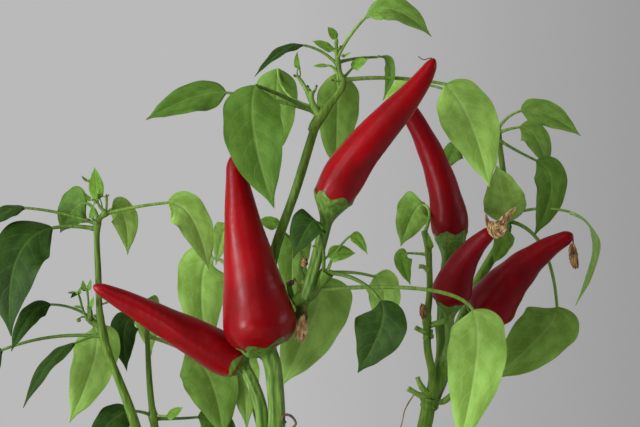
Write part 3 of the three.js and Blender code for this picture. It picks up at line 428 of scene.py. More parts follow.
def smooth_curve(points):
    """A uniform Catmull-Rom curve through the points."""
    p = np.array(points, float)
    p = np.vstack([2 * p[0] - p[1], p, 2 * p[-1] - p[-2]])
    spans = len(p) - 3

    def at(share):
        t = np.clip(np.asarray(share, float), 0, 1) * spans
        i = np.minimum(t.astype(int), spans - 1)
        w = (t - i)[..., None]
        before, start, end, after = (p[i + k] for k in range(4))
        leave, arrive = (end - before) / 2, (after - start) / 2
        bend = 3 * (end - start) - 2 * leave - arrive
        return start + w * (leave + w * (bend + w * (2 * (start - end) + leave + arrive)))

    return at


def bent_curve(start, bend, end):
    """A quadratic Bezier curve."""
    start, bend, end = vec(start), vec(bend), vec(end)

    def at(share):
        t = np.asarray(share, float)[..., None]
        return start * (1 - t) ** 2 + bend * 2 * t * (1 - t) + end * t * t

    return at


def tangent(curve, share):
    share = np.asarray(share, float)
    step = 1e-4
    return unit(curve(np.clip(share + step, 0, 1)) - curve(np.clip(share - step, 0, 1)))


def length_of(curve):
    return float(np.linalg.norm(np.diff(curve(np.linspace(0, 1, 201)), axis=0), axis=1).sum())


def seeded_run(seed):
    """A repeatable run of numbers between 0 and 1."""
    state = seed
    while True:
        state = (state * 1664525 + 1013904223) % 4294967296
        yield state / 4294967296


def waves(seed, count, lowest=1.0, highest=4.0):
    """A smooth repeatable wobble, about -1 to 1, of two places."""
    draw = seeded_run(seed)
    rows = [(mix(lowest, highest, next(draw)), mix(lowest, highest, next(draw)), FULL_TURN * next(draw))
            for _ in range(count)]

    def at(a, b):
        return sum(np.sin(p * a + q * b + r) for p, q, r in rows) / math.sqrt(count)

    return at


# Meshes

class Pile:
    """Points, faces and places on a map, gathered for one piece."""

    def __init__(self):
        self.points, self.faces, self.places, self.count = [], [], [], 0

    def add(self, points, faces, places=None):
        """faces is a row of corner numbers for each face, and places the map place of each corner."""
        faces = np.asarray(faces, int)
        self.points.append(np.asarray(points, float).reshape(-1, 3))
        self.faces.append(faces + self.count)
        self.places.append(np.zeros(faces.shape + (2,)) if places is None else np.asarray(places, float))
        self.count += len(self.points[-1])

    def add_rings(self, rings, near=None, far=None):
        """A closed body through rings, an array of rings, corners and xyz. near and far are the
        map places of the two ends of each ring's sides."""
        n, m = rings.shape[:2]
        start = self.count
        i, j = np.meshgrid(np.arange(n - 1), np.arange(m), indexing="ij")
        after = (j + 1) % m
        faces = np.stack([i * m + j, i * m + after, (i + 1) * m + after, (i + 1) * m + j], -1)
        places = None
        if near is not None:
            places = np.stack([near[i, j], far[i, j], far[i + 1, j], near[i + 1, j]], 2).reshape(-1, 4, 2)
        self.add(rings, faces.reshape(-1, 4), places)
        for end in (0, n - 1):
            ring = start + end * m + np.arange(m)
            sides = [ring, np.roll(ring, -1)] if end else [np.roll(ring, -1), ring]
            faces = np.column_stack([*sides, np.full(m, self.count)]) - self.count
            if near is not None:
                edges = [near[end], far[end]] if end else [far[end], near[end]]
                places = np.stack([*edges, (near[end] + far[end]) / 2 + (0, 0.01)], 1)
            self.add(rings[end].mean(0), faces, places)

    def add_tube(self, curve, shares, sides, radius_at):
        """A round tube along a curve; radius_at takes a column of shares and a row of angles."""
        middle, _, side, other = framed(curve, shares)
        angle = np.arange(sides) * (2 * math.pi / sides)
        radius = np.broadcast_to(radius_at(shares[:, None], angle[None, :]), (len(shares), sides))
        across = side[:, None] * np.cos(angle)[:, None] + other[:, None] * np.sin(angle)[:, None]
        self.add_rings(middle[:, None] + radius[..., None] * across)


def framed(curve, shares):
    """Points along a curve, its direction there, and two directions across it that don't twist."""
    forward = tangent(curve, shares)
    side = np.empty_like(forward)
    held = np.cross(forward[0], vec((0, 1, 0)))
    for i, way in enumerate(forward):
        held = unit(held - way * held.dot(way))
        side[i] = held
    return curve(shares), forward, side, np.cross(forward, side)


def sheet(middle, side, upper, reach):
    """A function from height to points of a surface whose rows lie across a curve: reach is how
    far each point lies to the side."""
    def at(height):
        return middle[:, None] + side[:, None] * reach[..., None] + upper[:, None] * height[..., None]

    return at


def make_piece(name, pile, material, replaces=(), sharp=None, mapped=False):
    """One object from a pile, riding on the plant's one body."""
    mesh = bpy.data.meshes.new(name)
    points = np.concatenate(pile.points) * MM
    sizes = np.concatenate([np.full(len(f), f.shape[1]) for f in pile.faces])
    mesh.vertices.add(len(points))
    mesh.vertices.foreach_set("co", points.ravel())
    mesh.loops.add(int(sizes.sum()))
    mesh.loops.foreach_set("vertex_index", np.concatenate([f.ravel() for f in pile.faces]))
    mesh.polygons.add(len(sizes))
    mesh.polygons.foreach_set("loop_start", np.concatenate([[0], np.cumsum(sizes)[:-1]]))
    mesh.polygons.foreach_set("loop_total", sizes)
    mesh.update(calc_edges=True)
    if mapped:
        layer = mesh.uv_layers.new(name="OFBake")
        layer.data.foreach_set("uv", np.concatenate([p.reshape(-1, 2) for p in pile.places]).ravel())
    mesh.shade_smooth()
    if sharp is not None:
        mesh.set_sharp_from_angle(angle=math.radians(sharp))
    mesh.validate()
    piece = bpy.data.objects.new(name, mesh)
    bpy.context.scene.collection.objects.link(piece)
    mesh.materials.append(material)
    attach(piece, "root")
    if replaces:
        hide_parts(*replaces)
    return piece


# Materials

class Tree:
    """A material's nodes, made by short calls."""

    def __init__(self, name, color, roughness, **plain):
        self.material = bpy.data.materials.new(name)
        self.material.use_nodes = True
        self.nodes = self.material.node_tree.nodes
        self.links = self.material.node_tree.links
        self.shader = self.nodes["Principled BSDF"]
        self.set(self.shader, {"Base Color": color, "Roughness": roughness, **plain})

    def set(self, node, inputs):
        for name, value in inputs.items():
            if isinstance(value, bpy.types.NodeSocket):
                self.links.new(value, node.inputs[name])
            elif isinstance(value, tuple) and len(value) == 3 and node.inputs[name].type == "RGBA":
                node.inputs[name].default_value = (*value, 1)
            else:
                node.inputs[name].default_value = value

    def add(self, kind, inputs=None, **settings):
        node = self.nodes.new("ShaderNode" + kind)
        for name, value in settings.items():
            setattr(node, name, value)
        self.set(node, inputs or {})
        return node

    def math(self, operation, *values):
        return self.add("Math", dict(enumerate(values)), operation=operation).outputs[0]

    def times(self, first, second):
        return self.math("MULTIPLY", first, second)

    def ramp(self, value, low, high, start=0.0, end=1.0):
        """A smooth step from start to end while the value goes from low to high."""
        inputs = {"Value": value, "From Min": low, "From Max": high, "To Min": start, "To Max": end}
        return self.add("MapRange", inputs, interpolation_type="SMOOTHSTEP").outputs[0]

    def blend(self, share, first, second):
        """A colour between two."""
        return self.add("Mix", {0: share, 6: first, 7: second}, data_type="RGBA").outputs[2]

    def place(self):
        """A point's place in the object, in metres."""
        return self.add("TexCoord").outputs["Object"]

    def stretched(self, scale, place=None):
        """A place, or the point's own, times a scale for each axis."""
        place = self.place() if place is None else place
        return self.add("Mapping", {"Vector": place, "Scale": scale}).outputs["Vector"]

    def noise(self, scale, detail=3, rough=0.55, place=None):
        """Noise with a scale for each axis."""
        inputs = {"Vector": self.stretched(scale, place), "Scale": 1, "Detail": detail, "Roughness": rough}
        return self.add("TexNoise", inputs).outputs["Fac"]

    def paint(self, color, roughness=None):
        self.set(self.shader, {"Base Color": color})
        if roughness is not None:
            self.set(self.shader, {"Roughness": roughness})

    def relief(self, height, distance, strength, layers=("Normal",)):
        """Raises the surface by height times a distance in millimetres."""
        bump = self.add("Bump", {"Height": height, "Distance": distance * MM, "Strength": strength})
        self.set(self.shader, {layer: bump.outputs["Normal"] for layer in layers})


def shades(colors):
    """Colours as the shader wants them, from 0 to 255 as a screen shows them."""
    return [tuple(c / 255 / 12.92 if c < 11 else ((c / 255 + 0.055) / 1.055) ** 2.4 for c in color)
            for color in colors]


VEINS = 6.5                         # side veins on either side of a leaf's midrib
VEIN_SLANT = 0.25                   # how far up the leaf a side vein climbs to the margin
VEIN_CURVE = 1.35                   # above 1 it bends towards the tip as it climbs
NET_SCALE = (46, 30, 1)             # cells of the fine net across and along the map


def leaf_material(name, colors, relief):
    """A leaf's two sides with midrib, side veins and fine net, read from its own map: the upper
    side in the map's left half and the underside in its right half, base to tip upwards. The
    colours are the dark and the light flesh, the veins and the underside."""
    deep, light, vein, under = shades(colors)
    t = Tree(name, light, 0.5, **{"Specular IOR Level": 0.1})
    place = t.add("UVMap", uv_map="OFBake").outputs["UV"]
    split = t.add("SeparateXYZ", {"Vector": place}).outputs
    around = split["X"]
    across = t.math("MULTIPLY_ADD", t.math("FRACT", t.times(around, 2)), 2, -1)
    off = t.math("ABSOLUTE", across)
    shifted = t.times(t.math("GREATER_THAN", across, 0), 0.5)
    climb = t.math("MULTIPLY_ADD", t.math("POWER", off, VEIN_CURVE), -VEIN_SLANT, split["Y"])
    phase = t.math("MULTIPLY_ADD", climb, VEINS, shifted)
    ribs = t.ramp(t.math("PINGPONG", phase, 0.5), 0.012, 0.085, 1, 0)
    midrib = t.ramp(off, 0.02, 0.075, 1, 0)
    veins = t.math("MAXIMUM", t.times(ribs, t.ramp(off, 0.5, 0.95, 0.48, 0.05)), midrib)
    net = {"Vector": t.stretched(NET_SCALE, place), "Scale": 1}
    cells = t.ramp(t.add("TexVoronoi", net, feature="DISTANCE_TO_EDGE").outputs["Distance"], 0, 0.12)
    mottle = t.ramp(t.noise((8, 5, 1), 4, place=place), 0.32, 0.7)
    flesh = t.blend(t.times(t.math("SUBTRACT", 1, cells), 0.1), t.blend(mottle, deep, light), vein)
    upper = t.blend(t.times(veins, 0.32), flesh, vein)
    lower = t.blend(t.times(veins, 0.4), t.blend(0.5, under, flesh), vein)
    t.paint(t.blend(t.math("GREATER_THAN", around, 0.5), upper, lower), t.ramp(cells, 0, 1, 0.56, 0.44))
    t.relief(t.math("SUBTRACT", t.times(cells, 0.4), t.times(veins, 0.8)), 0.12, relief)
    return t.material


def green_material(name, colors, roughness=0.5):
    """Green stems and stalks: fine streaks that run mostly upwards, and broad darker clouds."""
    deep, light = shades(colors)
    t = Tree(name, light, roughness, **{"Specular IOR Level": 0.25})
    streaks = t.noise((900, 900, 130), 4)
    broad = t.noise((110, 110, 60))
    color = t.blend(t.ramp(streaks, 0.3, 0.7), deep, light)
    t.paint(t.blend(t.ramp(broad, 0.35, 0.75, 0, 0.5), color, deep),
            t.ramp(streaks, 0.2, 0.8, roughness + 0.12, roughness - 0.06))
    t.relief(streaks, 0.25, 0.8)
    return t.material


def bark_material(name, colors, woody_to, green_from):
    """A limb that is corky grey-brown up to a height, in metres, and green from another: cork
    splits lengthwise and thins out in patches over the green ground."""
    deep, light, green_deep, green_light = shades(colors)
    t = Tree(name, light, 0.8, **{"Specular IOR Level": 0.2})
    cork = t.noise((520, 520, 85), 6, 0.62)
    streaks = t.noise((900, 900, 120), 4)
    patches = t.math("MULTIPLY_ADD", t.noise((110, 110, 45), 4), 0.7, -0.35)
    height = t.add("SeparateXYZ", {"Vector": t.place()}).outputs["Z"]
    wood = t.ramp(t.math("ADD", t.ramp(height, woody_to, green_from), patches), 0.35, 0.6, 1, 0)
    brown = t.blend(t.ramp(cork, 0.36, 0.64), deep, light)
    green = t.blend(t.ramp(streaks, 0.32, 0.68), green_deep, green_light)
    brown_rough = t.blend(cork, (0.9, 0.9, 0.9), (0.7, 0.7, 0.7))
    t.paint(t.blend(wood, green, brown), t.blend(wood, (0.5, 0.5, 0.5), brown_rough))
    t.relief(t.math("ADD", t.times(cork, wood), t.times(streaks, 0.3)), 0.5, 0.9)
    return t.material


def fruit_material(name, colors, gloss, blur):
    """Ripe chilli skin: a tight gloss over red flesh, faint lengthwise veining, fine cross wrinkles."""
    deep, ripe, fresh = shades(colors)
    t = Tree(name, ripe, 0.4, **{"Coat Weight": gloss, "Coat Roughness": blur, "Coat IOR": 1.4,
                                 "Specular IOR Level": 0.08})
    clouds = t.noise((70, 70, 38))
    threads = t.ramp(t.noise((620, 620, 90)), 0.48, 0.8, 0, 0.35)
    t.paint(t.blend(threads, t.blend(t.ramp(clouds, 0.3, 0.72), deep, ripe), fresh),
            t.ramp(clouds, 0.3, 0.7, 0.46, 0.34))
    wrinkles, hollows = t.noise((240, 240, 460)), t.noise((95, 95, 70), 2)
    t.relief(t.math("MULTIPLY_ADD", wrinkles, 0.3, hollows), 0.7, 0.5, ("Normal", "Coat Normal"))
    return t.material


def dry_material(name, colors):
    """Dried petals, dead bits and grit: dull, with a fine fibre between two colours."""
    dark, light = shades(colors)
    t = Tree(name, light, 0.9)
    fibre = t.noise((800, 800, 300), 5, 0.6)
    t.paint(t.blend(t.ramp(fibre, 0.35, 0.65), dark, light))
    t.relief(fibre, 0.3, 0.8)
    return t.material


def clay_material(name, colors):
    """Fired clay: fine grain, faint turning lines, pale salt bloom and damp patches. The colours
    are its plain, dark and light clay, the bloom and the lines."""
    plain, dark, light, salt, line = shades(colors)
    t = Tree(name, plain, 0.85)
    grain = t.noise((700, 700, 700), 4, 0.6)
    clouds = t.noise((16, 16, 22), 5)
    lines = t.noise((3, 3, 620))
    bloom = t.times(t.times(t.ramp(clouds, 0.52, 0.72), t.ramp(grain, 0.4, 0.62)), 0.45)
    color = t.blend(bloom, t.blend(t.ramp(clouds, 0.3, 0.7), dark, light), salt)
    t.paint(t.blend(t.ramp(lines, 0.5, 0.8, 0, 0.25), color, line), t.ramp(grain, 0.3, 0.7, 0.94, 0.78))
    t.relief(t.math("ADD", t.times(lines, 0.7), t.times(grain, 0.5)), 0.35, 0.7)
    return t.material


def earth_material(name, colors):
    """Damp potting soil: dark crumbs and brown ones."""
    plain, dark, light = shades(colors)
    t = Tree(name, plain, 0.95)
    crumbs = t.noise((420, 420, 420), 6, 0.68)
    t.paint(t.blend(t.ramp(crumbs, 0.38, 0.62), dark, light))
    t.relief(crumbs, 1.2, 1)
    return t.material


# Greens from dark to light, each as dark and light flesh, veins and underside. Pale is painted light: the
# glow of light shining through backlit leaves at the back, laid on opaque blades. Where a row gives a leaf
# its green, that green was matched to how light or dark the leaf looks. So deep, mid and bright there are
# partly the leaf's own green and partly painted light and shade. Grown leaves draw theirs at random, and
# young goes to narrow leaves.
LEAF_TONES = {
    "deep": [(29, 52, 6), (44, 75, 15), (84, 112, 50), (84, 108, 56)],
    "mid": [(68, 102, 29), (90, 126, 45), (122, 150, 72), (108, 136, 72)],
    "bright": [(96, 131, 46), (122, 161, 69), (150, 180, 96), (136, 164, 96)],
    "pale": [(128, 166, 66), (157, 199, 96), (182, 214, 126), (168, 198, 116)],
    "young": [(92, 134, 42), (120, 162, 58), (142, 176, 80), (124, 158, 72)],
}
LEAF_RELIEF = 0.5
YOUNG_RELIEF = 0.04
YOUNG_WIDTH = 8.5                    # narrower leaves than this are young ones
DULL_SHADED_ONES = (4, 5, 6)                # the chillies that stand behind, in the softer light
LEAF_SKINS = {tone: leaf_material("leaf_" + tone, colors, YOUNG_RELIEF if tone == "young" else LEAF_RELIEF)
              for tone, colors in LEAF_TONES.items()}
GREEN_YOUNG = green_material("stem_young", [(76, 106, 26), (108, 140, 46)])
GREEN_STALK = green_material("stalk_green", [(70, 108, 28), (122, 152, 68)], 0.42)
GREEN_PETIOLE = green_material("petiole_green", [(74, 106, 32), (108, 140, 54)])
PALE_PETIOLE = green_material("petiole_pale", [(104, 142, 50), (144, 178, 82)])
BOUGH = bark_material("bough_bark", [(86, 78, 46), (132, 122, 82), (72, 104, 26), (106, 138, 46)],
                      0.16, 0.31)
BARK = bark_material("trunk_bark", [(82, 66, 44), (144, 124, 90), (84, 98, 44), (116, 122, 66)],
                     0.15, 0.24)
FRUIT = fruit_material("chilli_skin", [(120, 0, 6), (152, 0, 10), (174, 3, 14)], 0.28, 0.2)
# The chillies behind get darker reds than the rest, which is painted shade, under a softer gloss.
DULL_SHADED_FRUIT = fruit_material("chilli_dull_shaded", [(112, 0, 9), (138, 0, 14), (158, 4, 20)], 0.16, 0.3)
DRY = dry_material("dry_petal", [(150, 108, 62), (222, 188, 136)])
BROWN = dry_material("brown_petal", [(88, 58, 32), (176, 134, 80)])
SCAR_AND_HOLLOW_SHADE = dry_material("dry_scar_and_hollow_shade", [(58, 44, 30), (112, 88, 60)])
GRIT = dry_material("grit", [(168, 160, 146), (226, 222, 212)])
CLAY = clay_material("fired_clay", [(176, 100, 66), (160, 84, 54), (192, 116, 78), (214, 178, 150),
                                    (140, 74, 48)])
EARTH = earth_material("potting_soil", [(52, 38, 28), (30, 21, 15), (84, 62, 44)])


# The growth rule: places that are taken, and the shape of every leaf and twig

class Space:
    """Taken places, each with a radius and the name of the piece it belongs to."""

    def __init__(self):
        self.owners, self.points, self.radii = [], [], []

    def take(self, owner, points, radii=0.0):
        points = np.asarray(points)
        self.owners.append(np.full(len(points), owner, dtype="U30"))
        self.points.append(points)
        self.radii.append(np.broadcast_to(radii, len(points)))

    def take_curve(self, owner, curve, radius_at):
        steps = math.ceil(length_of(curve) / 4)
        shares = np.arange(steps + 1) / steps
        self.take(owner, curve(shares), radius_at(shares))

    def is_clear(self, owner, places):
        others = np.concatenate(self.owners) != owner
        points = np.concatenate(self.points)[others]
        room = np.concatenate(self.radii)[others] + KEEP_OFF
        return bool((np.linalg.norm(places[:, None] - points, axis=-1) > room).all())


def taper(thick):
    return lambda share: mix(*thick, share)


def trunk_radius(share):
    flare = np.maximum(0, 1 - share / FLARE_LENGTH)
    return mix(*TRUNK["thick"], share) * (1 + (TRUNK_FLARE - 1) * flare * flare)


def chilli_radius(row, share):
    """A chilli's radius along its axis: a rounded shoulder, then an even taper to a round tip."""
    share = np.asarray(share, float)
    fall = np.clip(1 - share / SHOULDER, 0, 1)
    shoulder = np.sqrt(1 - (1 - row.get("foot", BASE_SHARE) ** 2) * fall * fall)
    body = 1 - row["slim"] * np.clip((share - SHOULDER) / (1 - SHOULDER), 0, 1) ** row.get("full", FULLNESS)
    rounding = np.clip((share - TIP_ROUND) / (1 - TIP_ROUND), 0, 1)
    return row["radius"] * shoulder * body * np.maximum(TIP_POINT, np.sqrt(1 - rounding * rounding))


def chilli_axis(row):
    """The curve of a chilli's middle, with a second bend where the row gives one."""
    if "crook" not in row:
        return bent_curve(row["base"], row["bend"], row["tip"])
    base, bend, crook, tip = (vec(row[key]) for key in ("base", "bend", "crook", "tip"))

    def at(share):
        t = np.asarray(share, float)[..., None]
        rest = 1 - t
        return base * rest ** 3 + bend * 3 * t * rest ** 2 + crook * 3 * t * t * rest + tip * t ** 3

    return at


def leaf_shape(stem, leaf):
    """A leaf's stalk and blade as curves, with the way across it and its measures."""
    root, base, tip = stem(leaf["at"]), vec(leaf["base"]), vec(leaf["tip"])
    turn, lift = leaf.get("turn", azimuth_of(tip - root)), leaf.get("lift", 0)
    length = np.linalg.norm(tip - base)
    carry = base + heading(turn, leaf.get("dip", lift)) * leaf.get("bow", 0.35) * length
    rise = base - heading(turn, lift) * leaf.get("rise", 0.5) * np.linalg.norm(base - root)
    face = heading(leaf.get("face", 270), leaf.get("up", 30))
    return dict(petiole=bent_curve(root, rise, base), blade=bent_curve(base, carry, tip),
                across=unit(np.cross(tip - base, face)), length=length, half=leaf["wide"] / 2,
                fold=leaf.get("fold", LEAF_FOLD), full=leaf.get("full", 1), tone=leaf["tone"])


def blade_outline(share):
    """Half the blade's width along it, over its greatest: ovate, with a long point."""
    return share ** 0.75 * (1 - share) ** 0.95 / 0.3115


def leaf_axes(shape, forward):
    """The two directions across the midrib where it runs along forward."""
    side = unit(shape["across"] - forward * (forward @ shape["across"])[:, None])
    return side, np.cross(side, forward)


def leaf_places(shape):
    """Places on a leaf that must stay clear of other pieces."""
    shares = np.arange(1, 9) / 8
    side, upper = leaf_axes(shape, tangent(shape["blade"], shares))
    half = (shape["half"] * blade_outline(shares))[:, None, None]
    across = np.array([-1, -0.5, 0, 0.5, 1])[None, :, None]
    blade = (shape["blade"](shares)[:, None] + side[:, None] * across * half
             + upper[:, None] * np.abs(across) * shape["fold"] * half)
    return np.concatenate([shape["petiole"](vec((0.5, 0.75, 1))), blade.reshape(-1, 3)])


def stem_of(mass):
    start, reach = vec(mass["start"]), vec(mass["reach"])
    out = (reach - start) * vec((STEM_BULGE, STEM_BULGE, 0))
    return bent_curve(start, (start + reach) / 2 + out, reach)


def twig_of(stem, share, azimuth, length):
    root = stem(share)
    bend, end = (heading(azimuth, rise) for rise in TWIG_RISE)
    return bent_curve(root, root + bend * length / 2, root + end * length)


def grow_twigs(mass, space):
    draw = seeded_run(mass["seed"] + 1)
    mass["curve"] = stem_of(mass)
    out = azimuth_of(vec(mass["reach"]) - vec(mass["start"]))
    mass["twigs"] = []
    for side, share in zip((1, -1), TWIG_SHARES):
        azimuth = out + side * mix(*TWIG_TURN, next(draw))
        twig = twig_of(mass["curve"], share, azimuth, mix(*TWIG_LENGTH, next(draw)))
        if space.is_clear(mass["name"], twig(np.linspace(0, 1, 9))):
            mass["twigs"].append(twig)
    space.take_curve(mass["name"], mass["curve"], lambda share: STEM_THICK[0])
    for twig in mass["twigs"]:
        space.take_curve(mass["name"], twig, lambda share: TWIG_THICK[0])


def grown_leaf(twig, share, azimuth, draw):
    """A leaf's row, drawn by the rule; its green is drawn later, once the leaf has found room."""
    droop, length, reach, roll, slim, lift = (
        mix(*limits, next(draw))
        for limits in (LEAF_DROOP, LEAF_LENGTH, LEAF_REACH, LEAF_ROLL, LEAF_SLIM, LEAF_LIFT))
    base = twig(share) + heading(azimuth, LEAF_RISE) * reach
    return leaf(share, base, base + heading(azimuth, -droop) * length, length * slim, None,
                face=azimuth + roll, up=90 - droop, lift=lift)


def below_view_edge(places):
    return bool((places[:, 2] < VIEW_EDGE_HEIGHT + VIEW_EDGE_SLOPE * places[:, 1]).all())


def grow_leaves(mass, space):
    draw = seeded_run(mass["seed"])
    tones = seeded_run(mass["seed"] + 2)
    azimuth = 360 * next(draw)
    grown = []
    tries = [(mass["curve"], share) for share in STEM_LEAVES]
    tries += [(twig, share) for twig in mass["twigs"] for share in TWIG_LEAVES]
    for twig, share in tries:
        azimuth += GOLDEN_ANGLE + mix(*LEAF_TURN, next(draw))
        shape = leaf_shape(twig, grown_leaf(twig, share, azimuth, draw))
        places = leaf_places(shape)
        near = [np.linalg.norm(places[:, None] - own, axis=-1).min() for _, own in grown]
        in_band = places[0, 2] > SOIL_TOP and below_view_edge(places)
        apart = min(near, default=KEEP_OFF) > KEEP_OFF / 2
        if in_band and apart and space.is_clear(mass["name"], places):
            shape["tone"] = GROWN_TONES[int(len(GROWN_TONES) * next(tones))]
            grown.append((shape, places))
    for _, places in grown:
        space.take(mass["name"], places)
    return [shape for shape, _ in grown]


def grow_plant():
    """Fills every mass's row with its curve, twigs and leaf shapes, in the solids' own order."""
    space = Space()
    space.take_curve("trunk", smooth_curve(TRUNK["route"]), trunk_radius)
    for row in BOUGHS:
        space.take_curve(row["name"], smooth_curve(row["route"]), taper(row["thick"]))
    for number, row in enumerate(CHILLIES, 1):
        axis = chilli_axis(row)
        space.take_curve(f"chilli_{number}", axis, lambda share: chilli_radius(row, share))
        stalk = smooth_curve([*row["stalk"], row["base"]])
        space.take_curve(f"stalk_{number}", stalk, lambda share: row["thick"])
    for mass in SET_MASSES:
        mass["curve"], mass["twigs"] = smooth_curve(mass["stem"]), []
        space.take_curve(mass["name"], mass["curve"], taper(mass["thick"]))
        mass["shapes"] = [leaf_shape(mass["curve"], leaf) for leaf in mass["leaves"]]
        for shape in mass["shapes"]:
            space.take(mass["name"], leaf_places(shape))
    for mass in GROWN_MASSES:
        grow_twigs(mass, space)
    for mass in GROWN_MASSES:
        mass["thick"] = STEM_THICK
        mass["shapes"] = grow_leaves(mass, space)


# Leaves

LEAF_STATIONS = 46
LEAF_COLUMNS = 21
MAP_REACH = 0.92                    # how much of its half of the map a leaf's width fills
CROWDING = 1.45                     # above 1 the columns gather at the midrib
THICK = 0.005                       # half a blade's thickness over its length
TWIST = 0.2                         # the most that a blade turns about its midrib, in radians
UNEVEN = 0.07                       # how much broader one half may be at the base
NOTCH, FINE_NOTCH = 0.03, 0.018     # waves of the margin over half the width
RIPPLE = 0.055                      # rise and fall of the margin over half the width
QUILT = 0.26                        # how high the flesh bulges between side veins
RIB_TOP, RIB_UNDER = 0.28, 0.85     # the midrib's groove above and its ridge beneath


def vein_distance(across, along):
    """How far a place on a leaf is from the nearest side vein, 0 on it and 0.5 midway."""
    climb = along - VEIN_SLANT * np.abs(across) ** VEIN_CURVE
    phase = climb * VEINS + 0.5 * (across > 0)
    return np.abs(phase - np.round(phase))


def stalk_radius(shape):
    """A leaf stalk's radius at its root, thicker for a wider leaf."""
    return PETIOLE_RADIUS * mix(0.55, 1, min(1, shape["half"] / 12))


def add_leaf(pile, shape, seed):
    """One blade as a closed sheet: folded at the midrib, quilted between its side veins, with
    rippled margins. Each ring runs left to right above and back beneath. Here s is the share
    along the midrib and v the share across, -1 to 1."""
    draw = seeded_run(seed * 7919)
    twist, skew, curl, hurry = (mix(-1, 1, next(draw)) for _ in range(4))
    phase = FULL_TURN * next(draw)
    small = shape["half"] / 10
    even = np.linspace(0, 1, LEAF_STATIONS)
    stalk_end = 0.75 * stalk_radius(shape)
    share = 0.997 * (0.8 * even + 0.1 * (1 - np.cos(math.pi * even)))
    column = np.linspace(-1, 1, LEAF_COLUMNS)
    v = (np.sign(column) * np.abs(column) ** CROWDING)[None, :]
    off = np.abs(v)
    s = share[:, None]

    middle, forward = shape["blade"](share), tangent(shape["blade"], share)
    side, upper = leaf_axes(shape, forward)
    angle = twist * TWIST * smooth_step(0, 1, s)
    cos, sin = np.cos(angle), np.sin(angle)
    side, upper = side * cos + upper * sin, upper * cos - side * sin
    stalk = stalk_end * (1 - s) ** 10
    notch = 1 + NOTCH * np.sin(11 * s + phase) + FINE_NOTCH * np.sin(25 * s + 2 * phase)
    drawn = mix(1 + 0.25 * shape["full"], 1, smooth_step(0, 0.45, s))
    drawn = drawn * mix(1, 0.6, smooth_step(0.84, 0.97, s))
    width = np.maximum(shape["half"] * blade_outline(s) * notch * drawn, stalk)
    width = width * (1 + UNEVEN * skew * np.sign(v) * (1 - s) ** 2)

    across, along = MAP_REACH * v, 0.02 + 0.96 * s
    arched = mix(-1.1, 0.75, smooth_step(0.02, 0.55, s)) * shape["fold"]
    hollow = arched * (np.sqrt(off ** 2 + 0.03) - 0.173) - 0.2 * shape["fold"] * (1 + curl) * off ** 3
    ripple = RIPPLE * off ** 3 * np.sin(s * (15 + 4 * hurry) + phase + 1.9 * np.sign(v))
    bulge = np.sqrt(2 * vein_distance(across, along)) - 0.7
    quilt = QUILT * small * bulge * np.sqrt(off * np.sin(math.pi * s)) * (1 - off ** 4)
    rise = width * (hollow + ripple) + quilt
    body = shape["length"] * THICK * (1 - 0.6 * off ** 4) + 0.6 * stalk
    rib = small * np.exp(-(width * v / (0.6 * small + 0.12)) ** 2) * (1 - s ** 4)
    top = rise + body - RIB_TOP * rib
    under = rise - body - RIB_UNDER * rib
    top[:, [0, -1]] = rise[:, [0, -1]]

    skin = sheet(middle, side, upper, width * v)
    rings = np.concatenate([skin(top), skin(under)[:, -2:0:-1]], axis=1)
    u = 0.25 + 0.25 * across[0]
    near = np.stack(np.broadcast_arrays(np.concatenate([u[:-1], u[:0:-1] + 0.5]), along), -1)
    far = np.stack(np.broadcast_arrays(np.concatenate([u[1:], u[-2::-1] + 0.5]), along), -1)
    pile.add_rings(rings, near, far)


def add_leaf_stalk(pile, shape):
    """A leaf's stalk, swollen where it leaves the stem."""
    length = length_of(shape["petiole"])

    def radius_at(share, angle):
        flare = 0.5 * np.exp(-share * length / 1.6)
        return stalk_radius(shape) * (mix(1, 0.75, share) + flare + 0.05 * np.cos(3 * angle + 2 * share))

    pile.add_tube(shape["petiole"], np.linspace(0, 1, max(8, int(length))), 10, radius_at)


def add_whole_leaf(piles, shape, seed):
    """Puts a blade in the pile of its green and its stalk in the pale or the darker pile."""
    young = 2 * shape["half"] < YOUNG_WIDTH and shape["tone"] != "deep"
    add_leaf(piles["young" if young else shape["tone"]], shape, seed)
    add_leaf_stalk(piles["pale_stalks" if shape["tone"] in ("bright", "pale") else "stalks"], shape)


# Limbs: ridged, with a collar where they leave their parent and a swelling at every fork

FORK_REACH = 4                      # a limb that starts nearer than this to a curve is its fork
FORK_SWELL = 0.22                   # shares of the radius
LUMPS = 0.045


def limb_radius(curve, radius_at, forks, seed, ridge=0.05, collar=0.35):
    length = length_of(curve)
    wobble = waves(seed, 6, 0.6, 2.4)

    def at(share, angle):
        radius = radius_at(share)
        near = [np.exp(-((share - fork) * length / (1.5 * radius)) ** 2) for fork in forks]
        swell = FORK_SWELL * sum(near) + collar * np.exp(-share * length / (2.4 * radius))
        along = share * length / 9
        ridges = np.cos(5 * angle + 1.7 * np.sin(along / 2)) + 0.4 * np.cos(11 * angle - along)
        return radius * (1 + swell + ridge * ridges + LUMPS * wobble(along, 2 * np.sin(angle)))

    return at


def forks_of(curve, starts):
    """The shares along a curve that lie nearest to those starts that are on it."""
    shares = np.linspace(0, 1, 401)
    points = curve(shares)
    found = []
    for start in starts:
        far = np.linalg.norm(points - vec(start), axis=1)
        if far.min() < FORK_REACH and 0.03 < shares[far.argmin()]:
            found.append(float(shares[far.argmin()]))
    return sorted(set(found))


def add_limb(pile, curve, radius_at, forks, seed, sides=24, spacing=1.1, **relief):
    shares = np.linspace(0, 1, max(6, int(length_of(curve) / spacing)))
    pile.add_tube(curve, shares, sides, limb_radius(curve, radius_at, forks, seed, **relief))


